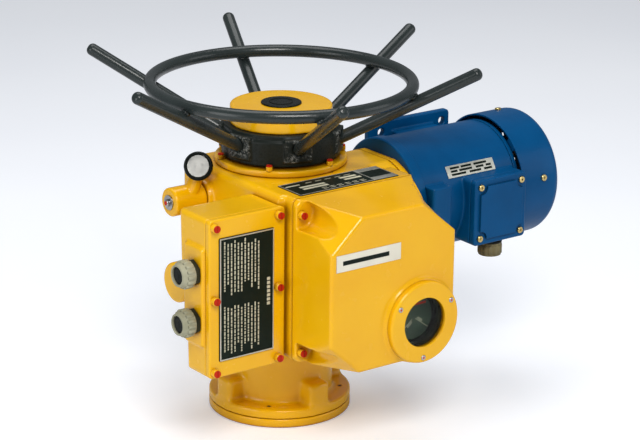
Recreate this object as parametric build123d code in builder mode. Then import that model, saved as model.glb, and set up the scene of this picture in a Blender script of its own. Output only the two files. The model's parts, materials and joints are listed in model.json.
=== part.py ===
from build123d import *
from math import acos, cos, pi, radians, sin, tan
import os

# Motorized multi-turn valve actuator, millimetres, +Z up along the valve stem.
# The origin is the centre of the bottom mounting face.  The motor axis runs along +X, the
# control cover and the indicator window face -Y, and the cable entries face -X.

os.makedirs("parts", exist_ok=True)

# ------------------------------------------------------------------ driving dimensions
GAP = 0.05  # assembly clearance between parts that touch
RUN = 0.04  # radial clearance of every running fit

# valve flange, size F14
FLANGE_R = 87.5
PLATE_T = 11.0
FLANGE_TOP = 23.0
BOLT_PCD = 140.0
BOLT_R = 8.0
BOLT_DEPTH = 38.0
COLUMN_R = 65.0
COLUMN_TOP = 86.0
PASSAGE_R = 36.0
THRUST_R = 44.0
THRUST_SEAT = 48.0
BOSS_TOP = 51.0
BOSS_W = 29.0

# main casting
BODY_LEFT = -90.0
BODY_BACK = 80.0
BODY_TOP = 314.0
BODY_FRONT = -138.0
BLOCK_FRONT = -121.0
BLOCK_RIGHT = 76.0
BLOCK_FLOOR = 118.0
CHAMBER_FLOOR = 136.0
CHAMBER_TOP = 304.0
DECK_LEFT = -83.0
DECK_RIGHT = 103.0
DECK_TOP_RIGHT = 90.0
DECK_SHOULDER = 268.0
DECK_BOTTOM = 115.0
CORNER_R = 7.0
RIM_R = 8.0
BOSS_OUT = 10.0

# drive train
MODULE = 2.0
PRESSURE_ANGLE = radians(20)
BACKLASH = 0.35
MOTOR_Y = -50.0
MOTOR_Z = 258.0
WORM_Z = 208.0
WORM_R = 12.0
WORM_BORE_R = 17.5
SPINDLE_R = 7.0
SPRING_END = -187.0
SPRING_R = 24.0
WORM_LEAD = pi * MODULE
WHEEL_TEETH = 38
PINION_TEETH = 20
SPUR_TEETH = 30
SLEEVE_R = 27.0
SLEEVE_BORE_R = 21.0
CASE_Y = -48.0
CASE_Z = 208.0
CASE_R = 110.0
CASE_SCREW_R = 99.0
GEAR_ROOM_Z = 219.0
GEAR_ROOM_R = 78.0
CASE_LEFT = 56.0
CASE_RIGHT = 106.0
CASE_COVER_T = 8.0
MOTOR_LEFT = 114.0

# declutch lever
LEVER_Y = 32.0
LEVER_Z = 276.0
LEVER_TURN = 30.0
SHIFT_ARM = 32.0
CLUTCH_R = 36.0
CLUTCH_H = 26.0
DOG_H = 6.0

# handwheel
SPOKES = 6
SPOKE_TURN = 11.1
SPOKE_R = 7.5
SPOKE_START = (50.0, 334.0)
SPOKE_END = (240.5, 438.0)
RING_R = 157.1
RING_TUBE_R = 7.6
HUB_R = 75.0
HUB_BOTTOM = 324.5
HUB_TOP = 362.0
CAP_TOP = 384.6

# control box on the left, indicator cover on the right of the front
BOX_X = (-192.0, -86.5)
BOX_Z = (113.5, 304.5)
BOX_BACK = -83.0
BOX_BACK_TOP = -68.0
BOX_STEP_Z = (222.0, 243.0)
PAD_T = 4.0
GLAND_Y = -104.0
GLAND_Z = (238.0, 179.0)
GLAND_BASE_R = 15.8
GLAND_NUT_R = 15.3
GLAND_BORE_R = 10.6
COVER_FACE = -130.0
COVER_T = 7.0
OCT_FACE = -210.0
OCT_X = (-79.0, 102.4)
OCT_Z = (112.6, 302.0)
OCT_FLANGE_T = 8.0
OCT_POCKETS = (17.0, 12.0, 14.0, 14.0)
COVER_DEPTH = 63.0
GASKET_T = 1.0
DIAL_X = 50.5
DIAL_Z = 160.5
BEZEL_R = 50.0
BEZEL_SEAT = 3.0
BEZEL_T = 8.0
WINDOW_R = 30.0

# motor
MOTOR_R = 73.0
COWL_R = 79.5
MOTOR_BODY = (128.0, 270.0)
COWL_X = (276.0, 339.0)
FOOT_Y = 30.0
FOOT_MID = 214.0
WEB_MID = 219.0
TBOX_X = (187.0, 269.0)
TBOX_Z = (206.0, 289.0)
TBOX_FACE = -143.0
TBOX_FLOOR = -123.5
TGLAND_X = 231.0
TGLAND_Y = -122.0

SEAT_R = 80.0
SEAT_TOP = 322.0
SHIFT = 2 * SHIFT_ARM * sin(radians(LEVER_TURN / 2))
GROOVE_Z = LEVER_Z - SHIFT / 2
CLUTCH_Z = GROOVE_Z - CLUTCH_H / 2

BOTTOM = (Align.CENTER, Align.CENTER, Align.MIN)
TOP = (Align.CENTER, Align.CENTER, Align.MAX)


# ------------------------------------------------------------------ shared helpers
def save(part, name):
    """Label a finished piece and write its STEP file."""
    part.label = name
    export_step(part, f"parts/{name}.step")


def facing(points, normal):
    """Seats at the given points, their local +Z along the outward normal."""
    return [Plane(origin=point, z_dir=normal).location for point in points]


def along_x(x, y, z):
    """A plane square to X, its local X along world Y."""
    return Plane(origin=(x, y, z), x_dir=(0, 1, 0), z_dir=(1, 0, 0))


def front(y):
    """A plane facing -Y, its local X and Y along world X and Z."""
    return Plane(origin=(0, y, 0), x_dir=(1, 0, 0), z_dir=(0, -1, 0))


def ring(centre, outer, inner, height, normal=(0, 0, 1)):
    """A plain ring, its first face at the centre point."""
    with BuildPart() as body:
        with BuildSketch(Plane(origin=centre, z_dir=normal)):
            Circle(outer)
            if inner > 0:
                Circle(inner, mode=Mode.SUBTRACT)
        extrude(amount=height)
    return body


def cap_screws(places, thread_r, length, head_r, head_h, socket_r):
    """Socket cap screws, heads outward from their seats."""
    with BuildPart() as screws:
        with Locations(*places):
            Cylinder(thread_r - GAP, length, align=TOP)
            Cylinder(head_r, head_h, align=BOTTOM)
        chamfer(screws.edges().filter_by(GeomType.CIRCLE).filter_by(
            lambda e: abs(e.radius - head_r) < 0.01 and outward(e, places) > head_h / 2), 0.5)
        with Locations(*places):
            with Locations((0, 0, head_h)):
                Cylinder(socket_r, head_h * 0.6, align=TOP, mode=Mode.SUBTRACT)
    return screws


def outward(edge, places):
    """Height of an edge's centre above the seat it belongs to."""
    centre = edge.arc_center
    nearest = min(places, key=lambda place: (place.position - centre).length)
    axis = Plane(nearest).z_dir
    return (centre - nearest.position).dot(axis)


def seal_plugs(places, head_h, socket_r, cap_r):
    """Slotted seal plugs that close the sockets of cap screws."""
    with BuildPart() as plugs:
        with Locations(*places):
            with Locations((0, 0, head_h)):
                Cylinder(socket_r - GAP, head_h * 0.5, align=TOP)
            with Locations((0, 0, head_h + GAP)):
                Cylinder(cap_r, 1.6, align=BOTTOM)
            with Locations((0, 0, head_h + GAP + 1.6)):
                Box(2 * cap_r, 0.9, 0.7, align=TOP, mode=Mode.SUBTRACT)
            with Locations((0, 0, head_h - 0.5)):
                Cylinder(socket_r - GAP, 0.5 + 2 * GAP, align=BOTTOM)
    return plugs


def involute(angle):
    """Involute function of a pressure angle in radians."""
    return tan(angle) - angle


def tooth_gap(teeth):
    """Outline of one gap between two teeth, centred on local +X."""
    pitch_r = MODULE * teeth / 2
    base_r = pitch_r * cos(PRESSURE_ANGLE)
    root_r = pitch_r - 1.25 * MODULE
    tip_r = pitch_r + MODULE
    half_gap = pi / (2 * teeth) + BACKLASH / (2 * pitch_r)
    points = []
    for step in range(6):
        radius = max(base_r, root_r) + (tip_r + 0.6 - max(base_r, root_r)) * step / 5
        flank = involute(acos(min(1.0, base_r / radius)))
        angle = half_gap - involute(PRESSURE_ANGLE) + flank
        points.append((radius * cos(angle), radius * sin(angle)))
    foot_angle = half_gap - involute(PRESSURE_ANGLE)
    foot = (root_r * cos(foot_angle), root_r * sin(foot_angle))
    lower = [(x, -y) for x, y in points]
    return foot, points, lower


def gear(teeth, plane, width, bore_r, turn=0.0, tilt=0.0):
    """A gear blank with its tooth gaps cut straight, or tilted to follow a worm."""
    tip_r = MODULE * (teeth + 2) / 2
    foot, upper, lower = tooth_gap(teeth)
    with BuildPart() as cutter:
        with BuildSketch(Plane.XY):
            with BuildLine():
                Polyline((foot[0], -foot[1]), foot, *upper, *reversed(lower), close=True)
            make_face()
        extrude(amount=width, both=True)
    tool = cutter.part.rotate(Axis((MODULE * teeth / 2, 0, 0), (1, 0, 0)), tilt)
    with BuildPart(plane) as body:
        Cylinder(tip_r, width)
        with PolarLocations(0, teeth, start_angle=turn):
            add(tool, mode=Mode.SUBTRACT)
        Cylinder(bore_r, width, mode=Mode.SUBTRACT)
    return body


def ball_bearing(centre, inner, outer, width, normal, count=9):
    """Deep-groove ball bearing: two grooved rings and their balls."""
    middle = (inner + outer) / 2
    ball_r = (outer - inner) * 0.29
    land = (outer - inner) * 0.2
    plane = Plane(origin=centre, z_dir=normal)
    with BuildPart(plane) as bearing:
        for r_out, r_in in ((outer, outer - land), (inner + land, inner)):
            with BuildSketch(plane):
                Circle(r_out)
                Circle(r_in, mode=Mode.SUBTRACT)
            extrude(amount=width)
        with Locations((0, 0, width / 2)):
            Torus(middle, ball_r + 0.02, mode=Mode.SUBTRACT)
            with PolarLocations(middle, count):
                Sphere(ball_r)
    return bearing


def polar(radius, angle, z):
    """A point at a radius and an angle in degrees about the stem axis."""
    return (radius * cos(radians(angle)), radius * sin(radians(angle)), z)


# ------------------------------------------------------------------ screw positions
base_places = facing([polar(72, a, 5.8) for a in (45, 135, 225, 315)], (0, 0, -1))
stud_points = [polar(BOLT_PCD / 2, a, 0) for a in (0, 90, 180, 270)]
seat_places = facing([polar(76.2, a, SEAT_TOP) for a in (-23, 44, 124, 164, 224, 284)], (0, 0, 1))
cover_points = [(x, COVER_FACE, z) for x in (-185.5, -97.0) for z in (121.5, 209, 296)]
cover_places = facing(cover_points, (0, -1, 0))
oct_points = [(-75.5, 296), (80, 298), (-75, 127.5), (92, 121)]
oct_seat = BODY_FRONT - OCT_FLANGE_T
oct_places = facing([(x, oct_seat, z) for x, z in oct_points], (0, -1, 0))
bezel_back = OCT_FACE - BEZEL_SEAT
bezel_face = bezel_back - BEZEL_T
bezel_points = [(DIAL_X + 43.5 * cos(radians(a)), bezel_face + 2.2, DIAL_Z + 43.5 * sin(radians(a)))
                for a in (148, 28, 268)]
bezel_places = facing(bezel_points, (0, -1, 0))
lid_points = [(x, TBOX_FACE, z) for x in (TBOX_X[0] + 9, TBOX_X[1] - 9)
              for z in (TBOX_Z[0] + 9, TBOX_Z[1] - 9)]
lid_places = facing(lid_points, (0, -1, 0))
case_points = [(CASE_RIGHT + CASE_COVER_T, CASE_Y + CASE_SCREW_R * cos(radians(a)),
                CASE_Z + CASE_SCREW_R * sin(radians(a))) for a in (35, 5, -25, -50, 238, 214)]
case_places = facing(case_points, (1, 0, 0))
cowl_places = []
for angle in (-8.6, 81.4, 171.4, 261.4):
    spoke = Vector(0, -cos(radians(angle)), -sin(radians(angle)))
    cowl_places += facing([Vector(309.5, MOTOR_Y, MOTOR_Z) + spoke * COWL_R], spoke)
gland_points = [(BOX_X[0], GLAND_Y, z) for z in GLAND_Z]
gland_places = facing(gland_points, (-1, 0, 0))

# ------------------------------------------------------------------ base
with BuildPart() as base_plate:
    with BuildSketch():
        Circle(FLANGE_R)
        Circle(PASSAGE_R, mode=Mode.SUBTRACT)
    extrude(amount=PLATE_T - GAP)
    chamfer(base_plate.edges().group_by(Axis.Z)[-1].sort_by(SortBy.RADIUS)[-1], 0.7)
    chamfer(base_plate.edges().group_by(Axis.Z)[0].sort_by(SortBy.RADIUS)[-1], 1.2)
    with Locations(*stud_points):
        Cylinder(BOLT_R, PLATE_T, align=BOTTOM, mode=Mode.SUBTRACT)
    with Locations(*base_places):
        Cylinder(4.6, 5.8, align=BOTTOM, mode=Mode.SUBTRACT)
        Cylinder(2.6, PLATE_T, align=TOP, mode=Mode.SUBTRACT)
save(base_plate.part, "base_plate")


def seat_outline():
    """Front outline of the deck that the indicator cover bolts to, its upper right corner cut away."""
    cut = 4.0
    return [(DECK_LEFT, DECK_BOTTOM + cut), (DECK_LEFT, BODY_TOP - cut), (DECK_LEFT + cut, BODY_TOP),
            (DECK_TOP_RIGHT, BODY_TOP), (DECK_RIGHT, DECK_SHOULDER), (DECK_RIGHT, DECK_BOTTOM + cut),
            (DECK_RIGHT - cut, DECK_BOTTOM), (DECK_LEFT + cut, DECK_BOTTOM)]


def gear_case_slab(x, thick):
    """A slice of the round gear case, cut flat at the deck's top, front and bottom."""
    with BuildPart() as slab:
        with BuildSketch(along_x(x, 0, 0)):
            with Locations((CASE_Y, CASE_Z)):
                Circle(CASE_R)
            with Locations(((BODY_FRONT + BODY_BACK) / 2, (DECK_BOTTOM + BODY_TOP) / 2)):
                Rectangle(BODY_BACK - BODY_FRONT, BODY_TOP - DECK_BOTTOM, mode=Mode.INTERSECT)
        extrude(amount=thick)
    return slab


# ------------------------------------------------------------------ main casting
with BuildPart() as block:
    with BuildSketch(Plane.XY.offset(BLOCK_FLOOR)):
        with BuildLine():
            FilletPolyline((BODY_LEFT, BLOCK_FRONT), (BODY_LEFT, BODY_BACK), (BLOCK_RIGHT, BODY_BACK),
                           (BLOCK_RIGHT, BLOCK_FRONT), radius=CORNER_R)
            Line((BLOCK_RIGHT, BLOCK_FRONT), (BODY_LEFT, BLOCK_FRONT))
        make_face()
    extrude(amount=BODY_TOP - BLOCK_FLOOR)
    rim = block.faces().sort_by(Axis.Z)[-1].edges()
    fillet(rim.filter_by(lambda e: e.center().Y > BLOCK_FRONT + 1), RIM_R)
    foot = block.faces().sort_by(Axis.Z)[0].edges()
    fillet(foot.filter_by(lambda e: e.center().Y > BLOCK_FRONT + 1), RIM_R)

gear_case = gear_case_slab(CASE_LEFT, CASE_RIGHT - CASE_LEFT)
with BuildPart() as gear_housing:
    with BuildSketch(Plane.XY.offset(PLATE_T)):
        Circle(FLANGE_R)
    extrude(amount=FLANGE_TOP - PLATE_T)
    with BuildSketch(Plane.XY.offset(FLANGE_TOP)):
        with PolarLocations(70, 4):
            Rectangle(36, BOSS_W)
        Circle(FLANGE_R - 1.2, mode=Mode.INTERSECT)
    extrude(amount=BOSS_TOP - FLANGE_TOP)
    fillet(gear_housing.edges().filter_by(Axis.Z).filter_by(
        lambda e: e.center().Z > FLANGE_TOP and Vector(e.center().X, e.center().Y).length > 62), 6)
    fillet(gear_housing.faces().filter_by(Plane.XY).group_by(Axis.Z)[-1].edges().filter_by(
        lambda e: Vector(e.center().X, e.center().Y).length > 56), 5)
    with BuildSketch(Plane.XY.offset(FLANGE_TOP)):
        Circle(COLUMN_R)
    extrude(amount=COLUMN_TOP - FLANGE_TOP)
    with BuildSketch(Plane.XY.offset(COLUMN_TOP)):
        Circle(COLUMN_R)
    with BuildSketch(Plane.XY.offset(CHAMBER_FLOOR)):
        with Locations((-5, -24)):
            RectangleRounded(158, 190, 40)
    loft()
    add(block.part)
    with BuildSketch(front(-100)):
        Polygon(*seat_outline(), align=None)
    extrude(amount=-BODY_FRONT - 100)
    add(gear_case.part)
    # lever boss and worm tunnel boss on the left wall
    with BuildSketch(along_x(BODY_LEFT - 6, LEVER_Y, LEVER_Z)):
        Circle(21)
    extrude(amount=BOSS_OUT)
    with BuildSketch(along_x(BODY_LEFT - 3, MOTOR_Y, WORM_Z)):
        Circle(27)
    extrude(amount=BOSS_OUT)
    # main chamber, gear chamber and counter chamber
    with BuildSketch(Plane.XY.offset(CHAMBER_FLOOR)):
        with Locations((-14, -6)):
            RectangleRounded(132, 152, 14)
    extrude(amount=CHAMBER_TOP - CHAMBER_FLOOR, mode=Mode.SUBTRACT)
    with BuildSketch(along_x(66, MOTOR_Y, GEAR_ROOM_Z)):
        Circle(GEAR_ROOM_R)
    extrude(amount=CASE_RIGHT - 66, mode=Mode.SUBTRACT)
    with BuildSketch(front(BODY_FRONT)):
        with Locations((6, 210)):
            RectangleRounded(140, 156, 14)
    extrude(amount=-34, mode=Mode.SUBTRACT)
    # bearing bosses inside
    with BuildSketch(along_x(-80, MOTOR_Y, WORM_Z)):
        Circle(24)
    extrude(amount=18)
    with BuildSketch(along_x(44, MOTOR_Y, WORM_Z)):
        Circle(24)
    extrude(amount=12)
    with BuildSketch(along_x(-80, LEVER_Y, LEVER_Z)):
        Circle(13)
    extrude(amount=24)
    with Locations(along_x(0, MOTOR_Y, WORM_Z).location):
        Cylinder(WORM_BORE_R, 300, mode=Mode.SUBTRACT)
    with Locations(along_x(-100, LEVER_Y, LEVER_Z).location):
        Cylinder(SPINDLE_R + RUN, 160, mode=Mode.SUBTRACT)
    # column bore: shoulder for the thrust bearings, then the stem passage
    with Locations((0, 0, THRUST_SEAT)):
        Cylinder(THRUST_R, 100, align=BOTTOM, mode=Mode.SUBTRACT)
    Cylinder(PASSAGE_R, THRUST_SEAT + 1, align=BOTTOM, mode=Mode.SUBTRACT)
    with Locations((0, 0, 290)):
        Cylinder(50, 30, align=BOTTOM, mode=Mode.SUBTRACT)
    # tapped holes
    with Locations(*stud_points):
        Cylinder(BOLT_R, BOLT_DEPTH, align=BOTTOM, mode=Mode.SUBTRACT)
    with Locations(*base_places):
        Cylinder(2.5, 30, align=TOP, mode=Mode.SUBTRACT)
    with Locations(*seat_places):
        Cylinder(2.5, 22, align=TOP, mode=Mode.SUBTRACT)
    with Locations(*oct_places):
        Cylinder(3, 26, align=TOP, mode=Mode.SUBTRACT)
    with Locations(*case_places):
        Cylinder(3, 24, align=TOP, mode=Mode.SUBTRACT)
save(gear_housing.part, "gear_housing")


# ------------------------------------------------------------------ front: indicator cover
def oct_outline(grow=0.0):
    """Front outline of the cover: a rectangle with three cut corners."""
    left, right = OCT_X[0] - grow, OCT_X[1] + grow
    low, high = OCT_Z[0] - grow, OCT_Z[1] + grow
    cut_x, cut_z = 44.0, 40.0
    return [(left, low + cut_z), (left, high - cut_z), (left + cut_x, high), (right - cut_x - 6, high),
            (right, high - cut_z), (right, low + cut_z), (right - cut_x, low), (left + cut_x, low)]


with BuildPart() as indicator_cover:
    with BuildSketch(front(BODY_FRONT - GASKET_T)):
        Polygon(*seat_outline(), align=None)
    with BuildSketch(front(OCT_FACE)):
        Polygon(*oct_outline(), align=None)
    loft(ruled=True)
    fillet(indicator_cover.faces().sort_by(Axis.Y)[0].edges(), 3)
    with BuildSketch(front(OCT_FACE + 30)):
        with Locations((DIAL_X, DIAL_Z)):
            Circle(BEZEL_R + 2)
    extrude(amount=30 + BEZEL_SEAT)
    chamfer(indicator_cover.faces().sort_by(Axis.Y)[0].edges(), 0.8)
    with BuildSketch(front(BODY_FRONT - GASKET_T)):
        with BuildLine():
            FilletPolyline(*oct_outline(-8.0), radius=4, close=True)
        make_face()
    extrude(amount=COVER_DEPTH, mode=Mode.SUBTRACT)
    with Locations(Location((DIAL_X, OCT_FACE, DIAL_Z), (90, 0, 0))):
        Cylinder(WINDOW_R + 1, 30, mode=Mode.SUBTRACT)
    for place, pocket_r in zip(oct_places, OCT_POCKETS):
        with Locations(place):
            Cylinder(pocket_r, 80, align=BOTTOM, mode=Mode.SUBTRACT)
    with Locations(*oct_places):
        Cylinder(3.3, 20, align=TOP, mode=Mode.SUBTRACT)
    with Locations(*bezel_places):
        Cylinder(1.8, 16, align=TOP, mode=Mode.SUBTRACT)
save(indicator_cover.part, "indicator_cover")

with BuildPart() as indicator_gasket:
    with BuildSketch(front(BODY_FRONT)):
        Polygon(*seat_outline(), align=None)
        with Locations((6, 210)):
            RectangleRounded(144, 160, 14, mode=Mode.SUBTRACT)
    extrude(amount=GASKET_T - GAP)
    with Locations(*oct_places):
        Cylinder(3.3, 40, mode=Mode.SUBTRACT)


with BuildPart() as window_bezel:
    with BuildSketch(front(bezel_back - GAP)):
        with Locations((DIAL_X, DIAL_Z)):
            Circle(BEZEL_R)
            Circle(WINDOW_R, mode=Mode.SUBTRACT)
    extrude(amount=BEZEL_T - GAP)
    fillet(window_bezel.edges().filter_by(GeomType.CIRCLE).filter_by(
        lambda e: e.radius > BEZEL_R - 1 and e.center().Y < OCT_FACE - 5), 3)
    fillet(window_bezel.edges().filter_by(GeomType.CIRCLE).filter_by(
        lambda e: e.radius < WINDOW_R + 1 and e.center().Y < OCT_FACE - 5), 1)
    with BuildSketch(front(bezel_back)):
        with Locations((DIAL_X, DIAL_Z)):
            Circle(WINDOW_R + 4)
    extrude(amount=4, mode=Mode.SUBTRACT)
    with Locations(*bezel_places):
        Cylinder(3.2, 5, align=BOTTOM, mode=Mode.SUBTRACT)
        Cylinder(1.9, 20, align=TOP, mode=Mode.SUBTRACT)
save(window_bezel.part, "window_bezel")

glass_y = bezel_back - GAP
window_glass = ring((DIAL_X, glass_y - 0.6, DIAL_Z), WINDOW_R + 3.9, 0.0, 3.2, (0, -1, 0))
save(window_glass.part, "window_glass")

window_seal = ring((DIAL_X, glass_y, DIAL_Z), WINDOW_R + 3.9, WINDOW_R + 0.5, 0.55, (0, -1, 0))

bezel_screws = cap_screws(bezel_places, 1.8, 15, 3.1, 3.0, 1.3)
save(bezel_screws.part, "bezel_screws")

# ------------------------------------------------------------------ position indicator
dial_y = -196.0
with BuildPart() as indicator_dial:
    with BuildSketch(front(dial_y)):
        with Locations((DIAL_X, DIAL_Z)):
            Circle(27)
    extrude(amount=2)
    with BuildSketch(front(dial_y + 34)):
        with Locations((DIAL_X, DIAL_Z)):
            Circle(4)
    extrude(amount=34)
save(indicator_dial.part, "indicator_dial")

with BuildPart() as counter_unit:
    with BuildSketch(front(BODY_FRONT + 33)):
        with Locations((DIAL_X - 14, DIAL_Z + 12)):
            RectangleRounded(52, 56, 4)
    extrude(amount=46)
    with Locations(Location((DIAL_X, -140, DIAL_Z), (90, 0, 0))):
        Cylinder(4 + RUN, 120, mode=Mode.SUBTRACT)
    with Locations(Location((DIAL_X, -152, DIAL_Z), (90, 0, 0))):
        Cylinder(10, 10, mode=Mode.SUBTRACT)
save(counter_unit.part, "counter_unit")

with BuildPart() as limit_switches:
    for level in (212, 238, 264):
        with BuildSketch(front(BODY_FRONT + 33)):
            with Locations((-18, level), (30, level)):
                Rectangle(34, 16)
        extrude(amount=26)
        with BuildSketch(front(BODY_FRONT + 7)):
            with Locations((-18, level), (30, level)):
                Circle(3)
        extrude(amount=4)
save(limit_switches.part, "limit_switches")

# ------------------------------------------------------------------ control box and its cover
box_mid = ((BOX_X[0] + BOX_X[1]) / 2, (BOX_Z[0] + BOX_Z[1]) / 2)
box_seat = COVER_FACE + COVER_T + 1
box_right = BODY_LEFT - GAP
with BuildPart() as control_box:
    # the back steps in at mid height to clear the spring housing behind it
    with BuildSketch(along_x(BOX_X[0], 0, 0)):
        Polygon((box_seat, BOX_Z[0]), (BOX_BACK, BOX_Z[0]), (BOX_BACK + 4, BOX_STEP_Z[0]),
                (BOX_BACK_TOP - 2, BOX_STEP_Z[1]), (BOX_BACK_TOP, BOX_Z[1]), (box_seat, BOX_Z[1]), align=None)
    extrude(amount=box_right - BOX_X[0])
    fillet(control_box.faces().sort_by(Axis.X)[0].edges().filter_by(
        lambda e: e.center().Y > box_seat + 1), CORNER_R - 2)
    with BuildSketch(Plane(origin=(BOX_X[0] + 1, 0, 0), x_dir=(0, -1, 0), z_dir=(-1, 0, 0))):
        with Locations((102.0, 210.0)):
            RectangleRounded(38, 120, 5)
    extrude(amount=PAD_T + 1)
    with BuildSketch(front(box_seat)):
        with Locations(((BOX_X[0] + box_right) / 2, box_mid[1])):
            RectangleRounded(box_right - BOX_X[0] - 18, BOX_Z[1] - BOX_Z[0] - 20, 6)
    extrude(amount=-(BOX_BACK - box_seat) + 9, mode=Mode.SUBTRACT)
    with BuildSketch(front(box_seat)):
        with Locations(*[(x, z) for x, _, z in cover_points]):
            Circle(7)
        with Locations(((BOX_X[0] + box_right) / 2, box_mid[1])):
            Rectangle(box_right - BOX_X[0], BOX_Z[1] - BOX_Z[0], mode=Mode.INTERSECT)
    extrude(amount=-30)
    with Locations(*cover_places):
        Cylinder(3, 34, align=TOP, mode=Mode.SUBTRACT)
    with Locations(*gland_places):
        Cylinder(12, 40, mode=Mode.SUBTRACT)
    with Locations(along_x(box_right, -104, 209).location):
        Cylinder(14, 30, mode=Mode.SUBTRACT)
save(control_box.part, "control_box")

with BuildPart() as control_cover:
    with BuildSketch(front(COVER_FACE + COVER_T)):
        with Locations(box_mid):
            RectangleRounded(BOX_X[1] - BOX_X[0], BOX_Z[1] - BOX_Z[0], 5)
    extrude(amount=COVER_T)
    fillet(control_cover.faces().sort_by(Axis.Y)[0].edges(), 2)
    with Locations(*cover_places):
        Cylinder(3.3, 30, mode=Mode.SUBTRACT)
    with BuildSketch(front(COVER_FACE + COVER_T)):
        with Locations(((BOX_X[0] + box_right) / 2, box_mid[1])):
            RectangleRounded(60, 150, 6)
    extrude(amount=2.5, mode=Mode.SUBTRACT)
save(control_cover.part, "control_cover")

with BuildPart() as control_gasket:
    with BuildSketch(front(box_seat - GAP)):
        with Locations(((BOX_X[0] + box_right) / 2, box_mid[1])):
            RectangleRounded(box_right - BOX_X[0] - 1, BOX_Z[1] - BOX_Z[0] - 1, 5)
            RectangleRounded(60, 150, 6, mode=Mode.SUBTRACT)
    extrude(amount=1 - 2 * GAP)
    with Locations(*cover_places):
        Cylinder(3.3, 60, mode=Mode.SUBTRACT)
with BuildPart() as cover_gaskets:
    add(indicator_gasket.part)
    add(control_gasket.part)
    add(window_seal.part)
save(cover_gaskets.part, "cover_gaskets")


with BuildPart() as terminal_strip:
    with BuildSketch(front(BOX_BACK - 10)):
        with Locations((-142, 209)):
            Rectangle(22, 120)
    extrude(amount=12)
    with BuildSketch(front(BOX_BACK - 22)):
        with Locations((-142, 209)):
            with GridLocations(0, 10, 1, 11):
                Rectangle(18, 7)
    extrude(amount=7)

# ------------------------------------------------------------------ plates
with BuildPart() as warning_plate:
    with BuildSketch(front(COVER_FACE - GAP)):
        with Locations((-141.0, 207.8)):
            RectangleRounded(76, 148.5, 1.5)
    extrude(amount=0.9)
    with BuildSketch(front(COVER_FACE - 0.4)):
        with Locations((-141.0, 207.8)):
            with GridLocations(70, 142, 2, 2):
                Circle(1.1)
    extrude(amount=1.4)
save(warning_plate.part, "warning_plate")

with BuildPart() as top_nameplate:
    with BuildSketch(Plane.XY.offset(BODY_TOP + GAP)):
        with Locations((2.8, -112.5)):
            Rectangle(143, 45)
    extrude(amount=0.9)
save(top_nameplate.part, "top_nameplate")

with BuildPart() as front_label:
    with BuildSketch(front(OCT_FACE - GAP)):
        with Locations((-26.2, 252.4)):
            Rectangle(92.5, 20.2)
    extrude(amount=0.5)
save(front_label.part, "front_label")

# ------------------------------------------------------------------ drive sleeve and bearings
with BuildPart() as drive_sleeve:
    for radius, low, high in ((SLEEVE_R, 20, 296), (36, 60, 68), (33, 182, 192), (25, 290, 332)):
        with Locations((0, 0, low)):
            Cylinder(radius, high - low, align=BOTTOM)
    with BuildSketch(Plane.XY.offset(236)):
        with PolarLocations(SLEEVE_R + 0.5, 6):
            Rectangle(5, 6)
    extrude(amount=60)
    Cylinder(SLEEVE_BORE_R, 400, align=BOTTOM, mode=Mode.SUBTRACT)
save(drive_sleeve.part, "drive_sleeve")

with BuildPart() as stem_nut:
    with Locations((0, 0, 12)):
        Cylinder(33, 8 - GAP, align=BOTTOM)
    with Locations((0, 0, 12)):
        Cylinder(SLEEVE_BORE_R - GAP, 48, align=BOTTOM)
    chamfer(stem_nut.edges().group_by(Axis.Z)[0].sort_by(SortBy.RADIUS)[-1], 1)
    Cylinder(15, 90, align=BOTTOM, mode=Mode.SUBTRACT)
save(stem_nut.part, "stem_nut")


def thrust_bearing(low):
    """Roller thrust bearing: two washers and a ring of short radial rollers."""
    with BuildPart() as bearing:
        for base in (low, low + 8.5):
            with BuildSketch(Plane.XY.offset(base)):
                Circle(THRUST_R - 0.1)
                Circle(SLEEVE_R + 1, mode=Mode.SUBTRACT)
            extrude(amount=3)
        with PolarLocations(36, 12):
            with Locations(Location((0, 0, low + 5.75), (0, 90, 0))):
                Cylinder(2.75, 10)
    return bearing


with BuildPart() as thrust_bearings:
    add(thrust_bearing(THRUST_SEAT + GAP).part)
    add(thrust_bearing(68 + RUN).part)
save(thrust_bearings.part, "thrust_bearings")

with BuildPart() as bearing_nut:
    with BuildSketch(Plane.XY.offset(80)):
        Circle(THRUST_R - 0.1)
        Circle(SLEEVE_R + 1, mode=Mode.SUBTRACT)
        with PolarLocations(40, 4):
            Rectangle(5, 6, mode=Mode.SUBTRACT)
    extrude(amount=12)
save(bearing_nut.part, "bearing_nut")


def dogs(low, inner, outer, turn, sweep=34.0):
    """Four clutch dogs standing between two radii."""
    half = radians(sweep / 2)
    with BuildPart() as tooth:
        with BuildSketch(Plane.XY.offset(low)):
            with BuildLine():
                Line((inner * cos(half), -inner * sin(half)), (outer * cos(half), -outer * sin(half)))
                ThreePointArc((outer * cos(half), -outer * sin(half)), (outer, 0),
                              (outer * cos(half), outer * sin(half)))
                Line((outer * cos(half), outer * sin(half)), (inner * cos(half), inner * sin(half)))
                ThreePointArc((inner * cos(half), inner * sin(half)), (inner, 0),
                              (inner * cos(half), -inner * sin(half)))
            make_face()
        extrude(amount=DOG_H)
    with BuildPart() as teeth:
        with PolarLocations(0, 4, start_angle=turn):
            add(tooth.part)
    return teeth.part


# ------------------------------------------------------------------ worm wheel and clutch
wheel_top = CLUTCH_Z - DOG_H - 0.5
wheel_rim = gear(WHEEL_TEETH, Plane.XY.offset(WORM_Z), 18, SLEEVE_R + RUN, -90 + 180 / WHEEL_TEETH, 4.76)
with BuildPart() as worm_wheel:
    add(wheel_rim.part)
    with BuildSketch(Plane.XY.offset(192 + GAP)):
        Circle(35)
        Circle(SLEEVE_R + RUN, mode=Mode.SUBTRACT)
    extrude(amount=wheel_top - 192 - GAP)
    with Locations((0, 0, 236)):
        Cylinder(31, 30, align=BOTTOM, mode=Mode.SUBTRACT)
    add(dogs(wheel_top - 0.01, 31, 35, 0))
save(worm_wheel.part, "worm_wheel")

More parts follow.
